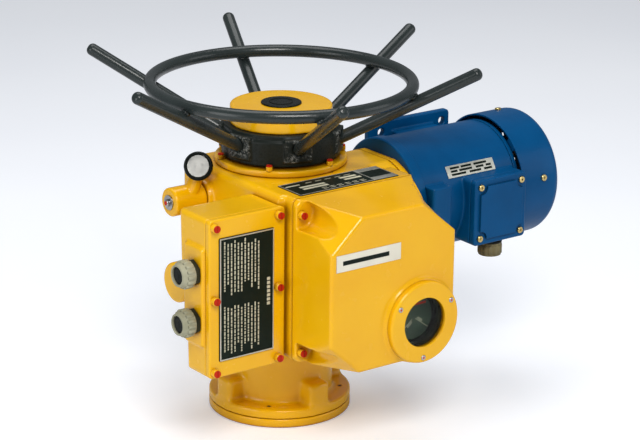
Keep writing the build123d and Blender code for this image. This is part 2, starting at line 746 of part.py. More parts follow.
with BuildPart() as clutch_ring:
    with BuildSketch(Plane.XY.offset(CLUTCH_Z)):
        Circle(CLUTCH_R)
        Circle(SLEEVE_R + RUN, mode=Mode.SUBTRACT)
        with PolarLocations(SLEEVE_R, 6):
            Rectangle(6.4, 6.4, mode=Mode.SUBTRACT)
    extrude(amount=CLUTCH_H)
    with BuildSketch(Plane.XY.offset(GROOVE_Z - 5)):
        Circle(CLUTCH_R + 1)
        Circle(32, mode=Mode.SUBTRACT)
    extrude(amount=10, mode=Mode.SUBTRACT)
    add(dogs(CLUTCH_Z - DOG_H, 31.2, 35, 45))
    add(dogs(CLUTCH_Z + CLUTCH_H, 31.2, 35, 45))
save(clutch_ring.part, "clutch_ring")

# ------------------------------------------------------------------ worm shaft
worm_plane = along_x(0, MOTOR_Y, WORM_Z)
turns = 7
with BuildPart() as thread:
    with BuildLine():
        Helix(WORM_LEAD, WORM_LEAD * turns, WORM_R, center=(0, 0, -WORM_LEAD * turns / 2))
    with BuildSketch(Plane(origin=(WORM_R, 0, -WORM_LEAD * turns / 2), x_dir=(1, 0, 0), z_dir=(0, 1, 0.083))):
        half = (WORM_LEAD / 2 - 0.65) / 2
        Polygon((-3.2, -half - 3.2 * tan(PRESSURE_ANGLE)), (2, -half + 2 * tan(PRESSURE_ANGLE)),
                (2, half - 2 * tan(PRESSURE_ANGLE)), (-3.2, half + 3.2 * tan(PRESSURE_ANGLE)), align=None)
    sweep(is_frenet=True)
with BuildPart(worm_plane) as worm_shaft:
    Cylinder(9.2, 60)
    with Locations((0, 0, -170)):
        Cylinder(SPINDLE_R, 140, align=BOTTOM)
    with Locations((0, 0, -86)):
        Cylinder(9, 150, align=BOTTOM)
    with Locations((0, 0, 60)):
        Cylinder(SPINDLE_R, 44, align=BOTTOM)
    add(thread.part)
save(worm_shaft.part, "worm_shaft")

worm_gear = gear(SPUR_TEETH, along_x(92, MOTOR_Y, WORM_Z), 16, SPINDLE_R + 0.01, 90 + 180 / SPUR_TEETH)
save(worm_gear.part, "worm_spur_gear")
motor_pinion = gear(PINION_TEETH, along_x(92, MOTOR_Y, MOTOR_Z), 16, SPINDLE_R + 0.01, -90)
save(motor_pinion.part, "motor_pinion")

with BuildPart() as worm_bearings:
    add(ball_bearing((-74, MOTOR_Y, WORM_Z), 9 + RUN, 17.4, 11, (1, 0, 0)).part)
    add(ball_bearing((48, MOTOR_Y, WORM_Z), 9 + RUN, 17.4, 11, (1, 0, 0)).part)

# ------------------------------------------------------------------ worm spring pack
with BuildPart() as spring_housing:
    with BuildSketch(along_x(SPRING_END, MOTOR_Y, WORM_Z)):
        Circle(SPRING_R)
    extrude(amount=BODY_LEFT - 3 - GAP - SPRING_END)
    fillet(spring_housing.edges().group_by(Axis.X)[0], 3)
    with BuildSketch(along_x(SPRING_END + 6, MOTOR_Y, WORM_Z)):
        Circle(SPRING_R - 4)
    extrude(amount=100, mode=Mode.SUBTRACT)
save(spring_housing.part, "spring_housing")

with BuildPart() as torque_springs:
    for index in range(6):
        base = -164 + index * 9
        with BuildSketch(Plane.XZ.offset(-MOTOR_Y)):
            lean = 3 if index % 2 == 0 else -3
            shift = 0 if lean > 0 else 3
            Polygon((base + shift, WORM_Z + 8), (base + shift + lean, WORM_Z + 19.5),
                    (base + shift + lean + 3, WORM_Z + 19.5), (base + shift + 3, WORM_Z + 8), align=None)
        revolve(axis=Axis((0, MOTOR_Y, WORM_Z), (1, 0, 0)))
save(torque_springs.part, "torque_springs")

# ------------------------------------------------------------------ declutch lever
with BuildPart(along_x(0, LEVER_Y, LEVER_Z)) as lever_shaft:
    with Locations((0, 0, -140)):
        Cylinder(SPINDLE_R, 98, align=BOTTOM)
        Cylinder(2.5, 20, align=BOTTOM, mode=Mode.SUBTRACT)
save(lever_shaft.part, "lever_shaft")

shoe_y = LEVER_Y - SHIFT_ARM * cos(radians(LEVER_TURN / 2))
with BuildPart() as clutch_fork:
    with BuildSketch(along_x(-52, LEVER_Y, LEVER_Z)):
        Circle(12)
    extrude(amount=9.9)
    with BuildSketch(along_x(-52, 0, 0)):
        with BuildLine():
            Polyline((LEVER_Y + 3, LEVER_Z - 11.5), (LEVER_Y, LEVER_Z + 12), (shoe_y - 3, GROOVE_Z + 7),
                     (shoe_y - 7, GROOVE_Z), (shoe_y - 2, GROOVE_Z - 7), close=True)
        make_face()
    extrude(amount=9.9)
    with Locations(along_x(-46, shoe_y, GROOVE_Z).location):
        Cylinder(4.7, 13.6, align=BOTTOM)
    with Locations(along_x(-56, LEVER_Y, LEVER_Z).location):
        Cylinder(SPINDLE_R, 18, align=BOTTOM, mode=Mode.SUBTRACT)
save(clutch_fork.part, "clutch_fork")

knob_centre = Vector(-113, 10, 322)
knob_axis = Vector(-0.60, -0.74, 0.30).normalized()
with BuildPart() as declutch_lever:
    with BuildSketch(along_x(-140, LEVER_Y, LEVER_Z)):
        Circle(17.5)
    extrude(amount=43.5)
    fillet(declutch_lever.edges().group_by(Axis.X)[0], 2.5)
    with BuildSketch(Plane(origin=(-114, LEVER_Y - 3, LEVER_Z + 4), z_dir=(0.02, -0.42, 0.90))):
        Ellipse(11, 9)
    with BuildSketch(Plane(origin=knob_centre - knob_axis * 9 + Vector(0, 2, -9), z_dir=(0.02, -0.42, 0.90))):
        Ellipse(8.5, 7)
    loft()
    with BuildSketch(Plane(origin=knob_centre - knob_axis * 17, z_dir=knob_axis)):
        Circle(11)
    extrude(amount=12)
    with Locations(along_x(-150, LEVER_Y, LEVER_Z).location):
        Cylinder(SPINDLE_R + GAP, 60, align=BOTTOM, mode=Mode.SUBTRACT)
save(declutch_lever.part, "declutch_lever")

with BuildPart() as lever_knob:
    with BuildSketch(Plane(origin=knob_centre - knob_axis * 5 + knob_axis * GAP, z_dir=knob_axis)):
        Circle(17.4)
    extrude(amount=7)
    fillet(lever_knob.edges(), 2.6)
    with BuildSketch(Plane(origin=knob_centre + knob_axis * 1.2, z_dir=knob_axis)):
        Circle(13)
    extrude(amount=2, mode=Mode.SUBTRACT)
save(lever_knob.part, "lever_knob")

knob_insert = ring(knob_centre + knob_axis * (1.2 + GAP), 12.9, 0, 1.0, knob_axis)
save(knob_insert.part, "knob_insert")

lever_end = facing([(-141.5, LEVER_Y, LEVER_Z)], (-1, 0, 0))
with BuildPart() as lever_screw:
    with Locations(*lever_end):
        Cylinder(2.45, 16, align=TOP)
        Cylinder(4.2, 3.6, align=BOTTOM)
    chamfer(lever_screw.edges().group_by(Axis.X)[0], 0.8)

lever_washer = ring((-140 - GAP, LEVER_Y, LEVER_Z), 9, 2.6, 1.35, (-1, 0, 0))
with BuildPart() as lever_end_screw:
    add(lever_screw.part)
    add(lever_washer.part)
save(lever_end_screw.part, "lever_end_screw")

# ------------------------------------------------------------------ handwheel
with BuildPart() as seat_ring:
    with BuildSketch(Plane.XY.offset(BODY_TOP + GAP)):
        Circle(SEAT_R)
    extrude(amount=SEAT_TOP - BODY_TOP - GAP)
    fillet(seat_ring.edges().group_by(Axis.Z)[-1], 2)
    Cylinder(36, 400, align=BOTTOM, mode=Mode.SUBTRACT)
    with Locations(*seat_places):
        Cylinder(2.8, 30, mode=Mode.SUBTRACT)
save(seat_ring.part, "seat_ring")
m5_screws = cap_screws(base_places + seat_places, 2.5, 16, 3.9, 5.0, 2.2)
save(m5_screws.part, "m5_cap_screws")

handwheel_bush = ring((0, 0, BODY_TOP + GAP), 35.95, 32 + RUN, SEAT_TOP - BODY_TOP - 2 * GAP)
save(handwheel_bush.part, "handwheel_bush")

adaptor_dogs = LEVER_Z + SHIFT / 2 + CLUTCH_H / 2 + 0.5
with BuildPart() as handwheel_sleeve:
    with Locations((0, 0, adaptor_dogs + DOG_H)):
        Cylinder(47, 8.4, align=BOTTOM)
    with Locations((0, 0, adaptor_dogs + DOG_H)):
        Cylinder(32, 352 - adaptor_dogs - DOG_H, align=BOTTOM)
    with BuildSketch(Plane.XY.offset(HUB_BOTTOM + 2)):
        with Locations((33, 0)):
            Rectangle(6, 8)
    extrude(amount=22)
    Cylinder(25 + RUN, 400, align=BOTTOM, mode=Mode.SUBTRACT)
    add(dogs(adaptor_dogs + 0.01, 31.2, 35, 0))
save(handwheel_sleeve.part, "handwheel_sleeve")

spoke_slope = Vector(SPOKE_END[0] - SPOKE_START[0], 0, SPOKE_END[1] - SPOKE_START[1]).normalized()
spoke_length = Vector(SPOKE_END[0] - SPOKE_START[0], 0, SPOKE_END[1] - SPOKE_START[1]).length


def spoke_plane(index):
    """Plane at a spoke's inner end, its local +Z along the spoke."""
    angle = SPOKE_TURN + index * 360 / SPOKES
    direction = spoke_slope.rotate(Axis.Z, angle)
    return Plane(origin=polar(SPOKE_START[0], angle, SPOKE_START[1]), z_dir=direction)


spoke_places = [spoke_plane(index).location for index in range(SPOKES)]
with BuildPart() as handwheel_hub:
    with BuildSketch(Plane.XY.offset(HUB_BOTTOM)):
        Circle(HUB_R - 3.5)
    extrude(amount=HUB_TOP - HUB_BOTTOM - 7)
    with BuildSketch(Plane.XY.offset(HUB_BOTTOM)):
        Circle(HUB_R - 6)
    extrude(amount=HUB_TOP - HUB_BOTTOM)
    with BuildSketch(Plane.XY.offset(HUB_BOTTOM + 6)):
        with PolarLocations(HUB_R - 14, SPOKES, start_angle=SPOKE_TURN):
            Rectangle(28, 34)
        Circle(HUB_R, mode=Mode.INTERSECT)
    extrude(amount=HUB_TOP - HUB_BOTTOM - 10)
    with BuildSketch(Plane.XY.offset(HUB_BOTTOM + 10)):
        Circle(58)
        Circle(40, mode=Mode.SUBTRACT)
    extrude(amount=HUB_TOP, mode=Mode.SUBTRACT)
    with BuildSketch(Plane.XY.offset(HUB_BOTTOM + 9)):
        with PolarLocations(50, SPOKES, start_angle=SPOKE_TURN):
            Rectangle(24, 22)
    extrude(amount=HUB_TOP - HUB_BOTTOM - 16)
    with Locations(*spoke_places):
        Cylinder(SPOKE_R + 0.02, 80, align=BOTTOM, mode=Mode.SUBTRACT)
    Cylinder(32 + 0.02, 800, mode=Mode.SUBTRACT)
    with BuildSketch(Plane.XY.offset(HUB_BOTTOM)):
        with Locations((33, 0)):
            Rectangle(6.1, 8.1)
    extrude(amount=24.5, mode=Mode.SUBTRACT)
save(handwheel_hub.part, "handwheel_hub")

with BuildPart() as handwheel_spokes:
    with Locations(*spoke_places):
        Cylinder(SPOKE_R, spoke_length, align=BOTTOM)
    fillet(handwheel_spokes.edges().filter_by(GeomType.CIRCLE).filter_by(
        lambda e: e.arc_center.Z > SPOKE_START[1] + 50), SPOKE_R * 0.8)
save(handwheel_spokes.part, "handwheel_spokes")

ring_rise = (RING_R - SPOKE_START[0]) * spoke_slope.Z / spoke_slope.X
ring_z = SPOKE_START[1] + ring_rise + (SPOKE_R + RING_TUBE_R + GAP) / spoke_slope.X
with BuildPart(Plane.XY.offset(ring_z)) as handwheel_ring:
    Torus(RING_R, RING_TUBE_R)

with BuildPart() as handwheel_welds:
    for index in range(SPOKES):
        seat = spoke_plane(index)
        foot_point = seat.origin + seat.z_dir * ((RING_R - SPOKE_START[0]) / spoke_slope.X + 8)
        normal = Vector(-spoke_slope.Z, 0, spoke_slope.X).rotate(Axis.Z, SPOKE_TURN + index * 360 / SPOKES)
        with Locations(Location(foot_point + normal * (SPOKE_R + 0.5))):
            Sphere(6)
    add(handwheel_ring.part, mode=Mode.SUBTRACT)
    add(handwheel_spokes.part, mode=Mode.SUBTRACT)
with BuildPart() as welded_ring:
    add(handwheel_ring.part)
    add(handwheel_welds.part)
save(welded_ring.part, "handwheel_ring")

with BuildPart() as stem_cap:
    with BuildSketch(Plane.XY.offset(HUB_TOP + GAP)):
        Circle(61.7)
    extrude(amount=CAP_TOP - HUB_TOP - GAP)
    fillet(stem_cap.edges().group_by(Axis.Z)[-1], 2.5)
    with BuildSketch(Plane.XY.offset(HUB_TOP)):
        Circle(54)
    extrude(amount=CAP_TOP - HUB_TOP - 6, mode=Mode.SUBTRACT)
    Cylinder(22, 800, mode=Mode.SUBTRACT)
save(stem_cap.part, "stem_cap")

with BuildPart() as stem_plug:
    with BuildSketch(Plane.XY.offset(CAP_TOP + GAP)):
        Circle(24.5)
    extrude(amount=1.8)
    fillet(stem_plug.edges().group_by(Axis.Z)[-1], 1)
    with BuildSketch(Plane.XY.offset(CAP_TOP - 8)):
        Circle(22 - GAP)
    extrude(amount=8.1)
    with BuildSketch(Plane.XY.offset(CAP_TOP - 8)):
        Circle(19)
    extrude(amount=6, mode=Mode.SUBTRACT)
save(stem_plug.part, "stem_plug")

# ------------------------------------------------------------------ cable glands
gland_hex_top = PAD_T + GAP + 6
with BuildPart() as gland_bodies:
    with BuildSketch(*[Plane(place).offset(PAD_T + GAP) for place in gland_places]):
        RegularPolygon(GLAND_BASE_R, 6)
    extrude(amount=gland_hex_top - PAD_T - GAP)
    with Locations(*gland_places):
        Cylinder(11.8, 24, mode=Mode.ADD)
        Cylinder(8, 30, mode=Mode.SUBTRACT)
save(gland_bodies.part, "gland_bodies")

with BuildPart() as gland_nuts:
    with Locations(*gland_places):
        with Locations((0, 0, gland_hex_top + GAP)):
            Cylinder(GLAND_NUT_R, 10, align=BOTTOM)
        with Locations((0, 0, gland_hex_top + GAP + 10)):
            Cone(GLAND_NUT_R, GLAND_BORE_R + 2.2, 6.5, align=BOTTOM)
        with Locations((0, 0, gland_hex_top)):
            Cylinder(11.8 + GAP, 4, align=BOTTOM, mode=Mode.SUBTRACT)
            Cylinder(GLAND_BORE_R, 40, align=BOTTOM, mode=Mode.SUBTRACT)
save(gland_nuts.part, "gland_nuts")

# ------------------------------------------------------------------ gear case cover
with BuildPart() as gear_cover:
    add(gear_case_slab(CASE_RIGHT + GAP, CASE_COVER_T - 2 * GAP).part)
    with Locations(along_x(110, MOTOR_Y, MOTOR_Z).location):
        Cylinder(26, 20, mode=Mode.SUBTRACT)
    with Locations(*case_places):
        Cylinder(3.2, 30, mode=Mode.SUBTRACT)
save(gear_cover.part, "gear_case_cover")
cover_screws = cap_screws(cover_places + oct_places + case_places, 3, 22, 5.0, 6.0, 2.6)
save(cover_screws.part, "cover_screws")

# ------------------------------------------------------------------ motor
def motor(x):
    """A plane square to the motor axis at a station along X."""
    return along_x(x, MOTOR_Y, MOTOR_Z)


with BuildPart() as drive_endshield:
    with BuildSketch(motor(MOTOR_LEFT)):
        Circle(75)
    extrude(amount=14 - GAP)
    chamfer(drive_endshield.edges().group_by(Axis.X)[0], 1.5)
    with BuildSketch(motor(MOTOR_BODY[0] - 1)):
        Circle(66)
    extrude(amount=7)
    with BuildSketch(motor(118)):
        Circle(20)
    extrude(amount=30, mode=Mode.SUBTRACT)
    with BuildSketch(motor(130)):
        Circle(60)
    extrude(amount=10, mode=Mode.SUBTRACT)
    with Locations(motor(100).location):
        Cylinder(11, 60, mode=Mode.SUBTRACT)
save(drive_endshield.part, "drive_endshield")

with BuildPart() as motor_frame:
    with BuildSketch(motor(MOTOR_BODY[0])):
        Circle(MOTOR_R)
    extrude(amount=MOTOR_BODY[1] - MOTOR_BODY[0])
    with BuildSketch(Plane(origin=(0, FOOT_Y - 4, 0), x_dir=(1, 0, 0), z_dir=(0, -1, 0)).offset(-4)):
        with Locations((FOOT_MID, MOTOR_Z + 57.5), (FOOT_MID, MOTOR_Z - 57.5)):
            RectangleRounded(129, 28, 5)
    extrude(amount=9)
    for side in (1, -1):
        with BuildSketch(Plane.XY.offset(MOTOR_Z + side * 52 - 5)):
            with Locations((WEB_MID, 4)):
                Rectangle(66, 44)
        extrude(amount=10)
    with BuildSketch(Plane.XY.offset(MOTOR_Z - 29)):
        with Locations((142.5, -121)):
            RectangleRounded(29, 30, 3)
    extrude(amount=58)
    with BuildSketch(front(TBOX_FACE + 9)):
        with Locations(((TBOX_X[0] + TBOX_X[1]) / 2, (TBOX_Z[0] + TBOX_Z[1]) / 2)):
            RectangleRounded(TBOX_X[1] - TBOX_X[0], TBOX_Z[1] - TBOX_Z[0], 5)
    extrude(amount=-46)
    with BuildSketch(front(TBOX_FACE + 9)):
        with Locations(((TBOX_X[0] + TBOX_X[1]) / 2, (TBOX_Z[0] + TBOX_Z[1]) / 2)):
            RectangleRounded(TBOX_X[1] - TBOX_X[0] - 12, TBOX_Z[1] - TBOX_Z[0] - 12, 3)
    extrude(amount=TBOX_FACE + 9 - TBOX_FLOOR, mode=Mode.SUBTRACT)
    with BuildSketch(front(TBOX_FACE + 9)):
        with Locations(*[(x, z) for x, _, z in lid_points]):
            Circle(6)
    extrude(amount=-20)
    with BuildSketch(motor(MOTOR_BODY[0] - 1)):
        Circle(MOTOR_R - 6)
    extrude(amount=200, mode=Mode.SUBTRACT)
    with Locations(*lid_places):
        Cylinder(2.5, 24, align=TOP, mode=Mode.SUBTRACT)
    with Locations((TGLAND_X, TGLAND_Y, TBOX_Z[0])):
        Cylinder(9, 20, mode=Mode.SUBTRACT)
    with Locations(*[Location((x, FOOT_Y, z), (90, 0, 0)) for x in (169.5, 267.0)
                     for z in (MOTOR_Z + 57.5, MOTOR_Z - 57.5)]):
        Cylinder(5, 60, mode=Mode.SUBTRACT)
save(motor_frame.part, "motor_frame")

stator_core = ring((148, MOTOR_Y, MOTOR_Z), MOTOR_R - 6 - GAP, 38, 70, (1, 0, 0))
with BuildPart() as windings:
    for x in (139, 218 + GAP):
        with BuildSketch(motor(x)):
            Circle(60)
            Circle(41, mode=Mode.SUBTRACT)
        extrude(amount=9 - GAP)
    fillet(windings.edges().filter_by(GeomType.CIRCLE), 2)
with BuildPart() as motor_stator:
    add(stator_core.part)
    add(windings.part)
save(motor_stator.part, "motor_stator")

with BuildPart(motor(0)) as motor_shaft:
    with Locations((0, 0, 82)):
        Cylinder(SPINDLE_R, 40, align=BOTTOM)
    with Locations((0, 0, 102)):
        Cylinder(9.5, 174, align=BOTTOM)
    with Locations((0, 0, 276)):
        Cylinder(SPINDLE_R, 34, align=BOTTOM)
save(motor_shaft.part, "motor_shaft")
rotor = ring((148, MOTOR_Y, MOTOR_Z), 37.5, 9.5 + 0.01, 70, (1, 0, 0))
save(rotor.part, "motor_rotor")

with BuildPart() as motor_bearings:
    add(ball_bearing((118.2, MOTOR_Y, MOTOR_Z), 9.5 + RUN, 19.9, 11, (1, 0, 0)).part)
    add(ball_bearing((259, MOTOR_Y, MOTOR_Z), 9.5 + RUN, 19.9, 11, (1, 0, 0)).part)
with BuildPart() as ball_bearings:
    add(worm_bearings.part)
    add(motor_bearings.part)
save(ball_bearings.part, "ball_bearings")

with BuildPart() as rear_endshield:
    with BuildSketch(motor(MOTOR_BODY[1] + GAP)):
        Circle(MOTOR_R)
    extrude(amount=5)
    with BuildSketch(motor(MOTOR_BODY[1] - 5)):
        Circle(MOTOR_R - 6 - GAP)
        Circle(60, mode=Mode.SUBTRACT)
    extrude(amount=5 + 2 * GAP)
    with BuildSketch(motor(258)):
        Circle(26)
    extrude(amount=12 + 2 * GAP)
    with BuildSketch(motor(258)):
        Circle(20)
    extrude(amount=12.5, mode=Mode.SUBTRACT)
    with Locations(motor(268).location):
        Cylinder(11, 60, mode=Mode.SUBTRACT)
save(rear_endshield.part, "rear_endshield")

with BuildPart() as fan:
    with BuildSketch(motor(284)):
        Circle(16)
        Circle(SPINDLE_R + 0.01, mode=Mode.SUBTRACT)
    extrude(amount=24)
    with BuildSketch(motor(284)):
        Circle(58)
        Circle(15, mode=Mode.SUBTRACT)
    extrude(amount=3)
    with BuildSketch(motor(286)):
        with PolarLocations(38, 8):
            Rectangle(40, 2.5)
    extrude(amount=18)
save(fan.part, "cooling_fan")

with BuildPart() as fan_cowl:
    with BuildSketch(motor(COWL_X[0])):
        Circle(COWL_R)
    extrude(amount=COWL_X[1] - COWL_X[0])
    fillet(fan_cowl.edges().group_by(Axis.X)[-1], 12)
    offset(amount=-2, openings=fan_cowl.faces().sort_by(Axis.X)[0])
    with BuildSketch(motor(COWL_X[0])):
        with PolarLocations((COWL_R + MOTOR_R) / 2 - 1.1, 4, start_angle=45):
            Rectangle(9, 16)
        Circle(COWL_R - 0.5, mode=Mode.INTERSECT)
        Circle(MOTOR_R - 3, mode=Mode.SUBTRACT)
    extrude(amount=12)
    with BuildSketch(motor(COWL_X[1] - 4)):
        for row, count in ((14, 8), (26, 16), (38, 24), (50, 30)):
            with PolarLocations(row, count):
                Circle(2.6)
    extrude(amount=8, mode=Mode.SUBTRACT)
    with Locations(*cowl_places):
        Cylinder(2.7, 12, mode=Mode.SUBTRACT)
save(fan_cowl.part, "fan_cowl")

tbox_mid = ((TBOX_X[0] + TBOX_X[1]) / 2, (TBOX_Z[0] + TBOX_Z[1]) / 2)
tbox_size = (TBOX_X[1] - TBOX_X[0], TBOX_Z[1] - TBOX_Z[0])
with BuildPart() as terminal_lid:
    with BuildSketch(front(TBOX_FACE + 8)):
        with Locations(tbox_mid):
            RectangleRounded(*tbox_size, 5)
    extrude(amount=8)
    fillet(terminal_lid.faces().sort_by(Axis.Y)[0].edges(), 2)
    with BuildSketch(front(TBOX_FACE + 1)):
        with Locations(tbox_mid):
            RectangleRounded(tbox_size[0] - 16, tbox_size[1] - 16, 5)
            with GridLocations(tbox_size[0] - 18, tbox_size[1] - 18, 2, 2):
                Circle(9, mode=Mode.SUBTRACT)
    extrude(amount=4)
    with Locations(*lid_places):
        Cylinder(2.7, 40, mode=Mode.SUBTRACT)
save(terminal_lid.part, "terminal_lid")
motor_screws = cap_screws(lid_places + cowl_places, 2.5, 18, 4.0, 2.6, 1.5)
save(motor_screws.part, "motor_cover_screws")

with BuildPart() as motor_terminals:
    with BuildSketch(front(TBOX_FLOOR - GAP)):
        with Locations(tbox_mid):
            Rectangle(44, 34)
    extrude(amount=3.8)
    with BuildSketch(front(TBOX_FLOOR - 2.5)):
        with Locations(tbox_mid):
            with GridLocations(14, 16, 3, 2):
                Circle(2.5)
    extrude(amount=7)
with BuildPart() as terminal_blocks:
    add(terminal_strip.part)
    add(motor_terminals.part)
save(terminal_blocks.part, "terminal_blocks")

with BuildPart() as motor_gland:
    with BuildSketch(Plane.XY.offset(TBOX_Z[0] - GAP - 6)):
        with Locations((TGLAND_X, TGLAND_Y)):
            RegularPolygon(14, 6)
    extrude(amount=6)
    with BuildSketch(Plane.XY.offset(TBOX_Z[0] - GAP - 22)):
        with Locations((TGLAND_X, TGLAND_Y)):
            Circle(14)
    extrude(amount=16)
    with BuildSketch(Plane.XY.offset(TBOX_Z[0] - 2)):
        with Locations((TGLAND_X, TGLAND_Y)):
            Circle(8.9)
    extrude(amount=10)
    with Locations((TGLAND_X, TGLAND_Y, 190)):
        Cylinder(5, 100, mode=Mode.SUBTRACT)
save(motor_gland.part, "motor_gland")

with BuildPart() as motor_nameplate:
    with BuildSketch(motor(167)):
        with BuildLine():
            arc = CenterArc((0, 0), MOTOR_R + GAP, 142.5, 12)
            outer = CenterArc((0, 0), MOTOR_R + 0.9, 142.5, 12)
            Line(arc @ 0, outer @ 0)
            Line(arc @ 1, outer @ 1)
        make_face()
    extrude(amount=74)
save(motor_nameplate.part, "motor_nameplate")

all_plugs = (
    (cover_places, 6.0, 2.6, 4.3), (oct_places, 6.0, 2.6, 4.3), (seat_places, 5.0, 2.2, 3.6))
with BuildPart() as red_plugs:
    for places, head_h, socket_r, cap_r in all_plugs:
        add(seal_plugs(places, head_h, socket_r, cap_r).part)
save(red_plugs.part, "screw_seal_plugs")
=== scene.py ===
import bpy
import json
import math
import random
from mathutils import Matrix, Vector


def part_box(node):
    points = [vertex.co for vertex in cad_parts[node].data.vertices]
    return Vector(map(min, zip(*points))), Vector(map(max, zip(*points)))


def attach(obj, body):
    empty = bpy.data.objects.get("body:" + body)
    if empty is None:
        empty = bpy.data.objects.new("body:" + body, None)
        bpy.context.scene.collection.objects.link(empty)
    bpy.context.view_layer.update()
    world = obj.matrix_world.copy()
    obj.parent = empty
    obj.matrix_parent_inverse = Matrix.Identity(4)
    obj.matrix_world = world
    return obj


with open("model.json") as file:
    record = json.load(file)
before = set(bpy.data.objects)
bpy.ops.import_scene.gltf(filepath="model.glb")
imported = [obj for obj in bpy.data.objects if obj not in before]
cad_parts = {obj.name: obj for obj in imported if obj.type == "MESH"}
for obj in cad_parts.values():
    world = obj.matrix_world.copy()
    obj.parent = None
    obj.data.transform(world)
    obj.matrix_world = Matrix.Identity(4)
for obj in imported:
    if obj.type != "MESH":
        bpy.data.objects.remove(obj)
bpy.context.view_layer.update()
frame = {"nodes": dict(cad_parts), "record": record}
NODES = frame["nodes"]
SLOT_OF = {s["node"]: s["material_slot"] for s in frame["record"]["subparts"]}
MM = 0.001
random.seed(7)

# how strongly worn edges, dirt and painted shade in corners, and specks show in each kind of finish
# on paint the worn edges are lighter, partly as worn paint and partly as a painted highlight
PAINT_WEAR_AND_HIGHLIGHT, METAL_WEAR, MOULDED_WEAR, CAST_WEAR = 0.35, 0.5, 0.3, 0.25
PAINT_DIRT_AND_SHADE, SMALL_DIRT_AND_SHADE, PAINT_SPECKS = 0.85, 0.7, 0.2
# how far the dirt and painted shade reach out of a corner, in metres: on castings, and on small parts
CASTING_GAP, SMALL_GAP = 0.016, 0.006
# the hub's cast skin is worn from this radius outward, in metres
WORN_FROM, WORN_FULLY = 0.0718, 0.0735


# ------------------------------------------------------------------ materials
class Graph:
    """A material's node tree with short calls for the nodes used here."""

    def __init__(self, name):
        self.material = bpy.data.materials.new(name)
        self.material.use_nodes = True
        self.tree = self.material.node_tree
        self.bsdf = self.tree.nodes["Principled BSDF"]
        self.coord = self.add("ShaderNodeTexCoord").outputs["Object"]

    def add(self, kind, **settings):
        node = self.tree.nodes.new(kind)
        for key, value in settings.items():
            setattr(node, key, value)
        return node

    def link(self, a, b):
        self.tree.links.new(a, b)

    def noise(self, scale, detail=3.0, rough=0.55, stretch=None):
        node = self.add("ShaderNodeTexNoise")
        node.inputs["Scale"].default_value = scale
        node.inputs["Detail"].default_value = detail
        node.inputs["Roughness"].default_value = rough
        source = self.coord
        if stretch:
            mapping = self.add("ShaderNodeMapping")
            mapping.inputs["Scale"].default_value = stretch
            self.link(source, mapping.inputs["Vector"])
            source = mapping.outputs["Vector"]
        self.link(source, node.inputs["Vector"])
        return node.outputs["Fac"]

    def spread(self, value, low, high, to_low=0.0, to_high=1.0):
        node = self.add("ShaderNodeMapRange")
        ends = {"From Min": low, "From Max": high, "To Min": to_low, "To Max": to_high}
        for key, number in ends.items():
            node.inputs[key].default_value = number
        self.link(value, node.inputs["Value"])
        return node.outputs["Result"]

    def mix(self, factor, a, b, mode="MIX"):
        node = self.add("ShaderNodeMix", data_type="RGBA", blend_type=mode)
        for socket, value in ((node.inputs[0], factor), (node.inputs[6], a), (node.inputs[7], b)):
            if isinstance(value, (int, float)):
                socket.default_value = value
            elif isinstance(value, tuple):
                socket.default_value = (*value, 1.0)
            else:
                self.link(value, socket)
        return node.outputs[2]

    def math(self, kind, a, b=0.0):
        node = self.add("ShaderNodeMath", operation=kind)
        for socket, value in ((node.inputs[0], a), (node.inputs[1], b)):
            if isinstance(value, (int, float)):
                socket.default_value = value
            else:
                self.link(value, socket)
        return node.outputs[0]

    def edges(self, radius):
        """1 near sharp edges, 0 on flats, and the rounded normal that found them."""
        bevel = self.add("ShaderNodeBevel", samples=4)
        bevel.inputs["Radius"].default_value = radius
        plain = self.add("ShaderNodeNewGeometry")
        dot = self.add("ShaderNodeVectorMath", operation="DOT_PRODUCT")
        self.link(bevel.outputs["Normal"], dot.inputs[0])
        self.link(plain.outputs["Normal"], dot.inputs[1])
        return self.spread(dot.outputs["Value"], 0.985, 0.86), bevel.outputs["Normal"]

    def dirt_and_shade(self, distance):
        """Painted shade mask from ambient occlusion: 1 deep in corners and gaps, 0 on open faces."""
        node = self.add("ShaderNodeAmbientOcclusion", samples=6)
        node.inputs["Distance"].default_value = distance
        return self.spread(node.outputs["AO"], 0.75, 0.3)

    def bump(self, layers, normal=None):
        """Stacks (height, distance in metres, strength) layers into one normal."""
        for height, distance, strength in layers:
            node = self.add("ShaderNodeBump")
            node.inputs["Distance"].default_value = distance
            node.inputs["Strength"].default_value = strength
            self.link(height, node.inputs["Height"])
            if normal is not None:
                self.link(normal, node.inputs["Normal"])
            normal = node.outputs["Normal"]
        self.link(normal, self.bsdf.inputs["Normal"])


def paint(name, base, light, dark, rough=(0.2, 0.34), peel=0.35, cast=0.5, edge=0.0012, worn=None,
          coat=0.5, gloss=0.25):
    """Enamel over a casting: uneven coat, orange peel, dirt and painted shade in corners, and lighter edges
    that are partly thinner paint and partly painted highlight.
    """
    g = Graph(name)
    blotch = g.noise(9, 4)
    near_edge, rounded = g.edges(edge)
    colour = g.mix(g.spread(blotch, 0.35, 0.68), base, light)
    # lighter edges: partly worn, thinner paint and partly a painted highlight
    colour = g.mix(g.math("MULTIPLY", near_edge, PAINT_WEAR_AND_HIGHLIGHT), colour, worn or light)
    # dirt and painted shade: darker where ambient occlusion finds corners and gaps
    colour = g.mix(g.math("MULTIPLY", g.dirt_and_shade(CASTING_GAP), PAINT_DIRT_AND_SHADE), colour, dark)
    speck = g.spread(g.noise(420, 2, 0.7), 0.72, 0.78)
    colour = g.mix(g.math("MULTIPLY", speck, PAINT_SPECKS), colour, dark)
    g.link(colour, g.bsdf.inputs["Base Color"])
    g.link(g.spread(g.noise(60, 3), 0.3, 0.7, *rough), g.bsdf.inputs["Roughness"])
    g.bsdf.inputs["Coat Weight"].default_value = coat
    g.bsdf.inputs["Coat Roughness"].default_value = 0.12
    g.bsdf.inputs["Specular IOR Level"].default_value = gloss
    g.bump([(g.noise(520, 2), 0.0004, peel), (g.noise(46, 4), 0.0016, cast)], rounded)
    return g.material


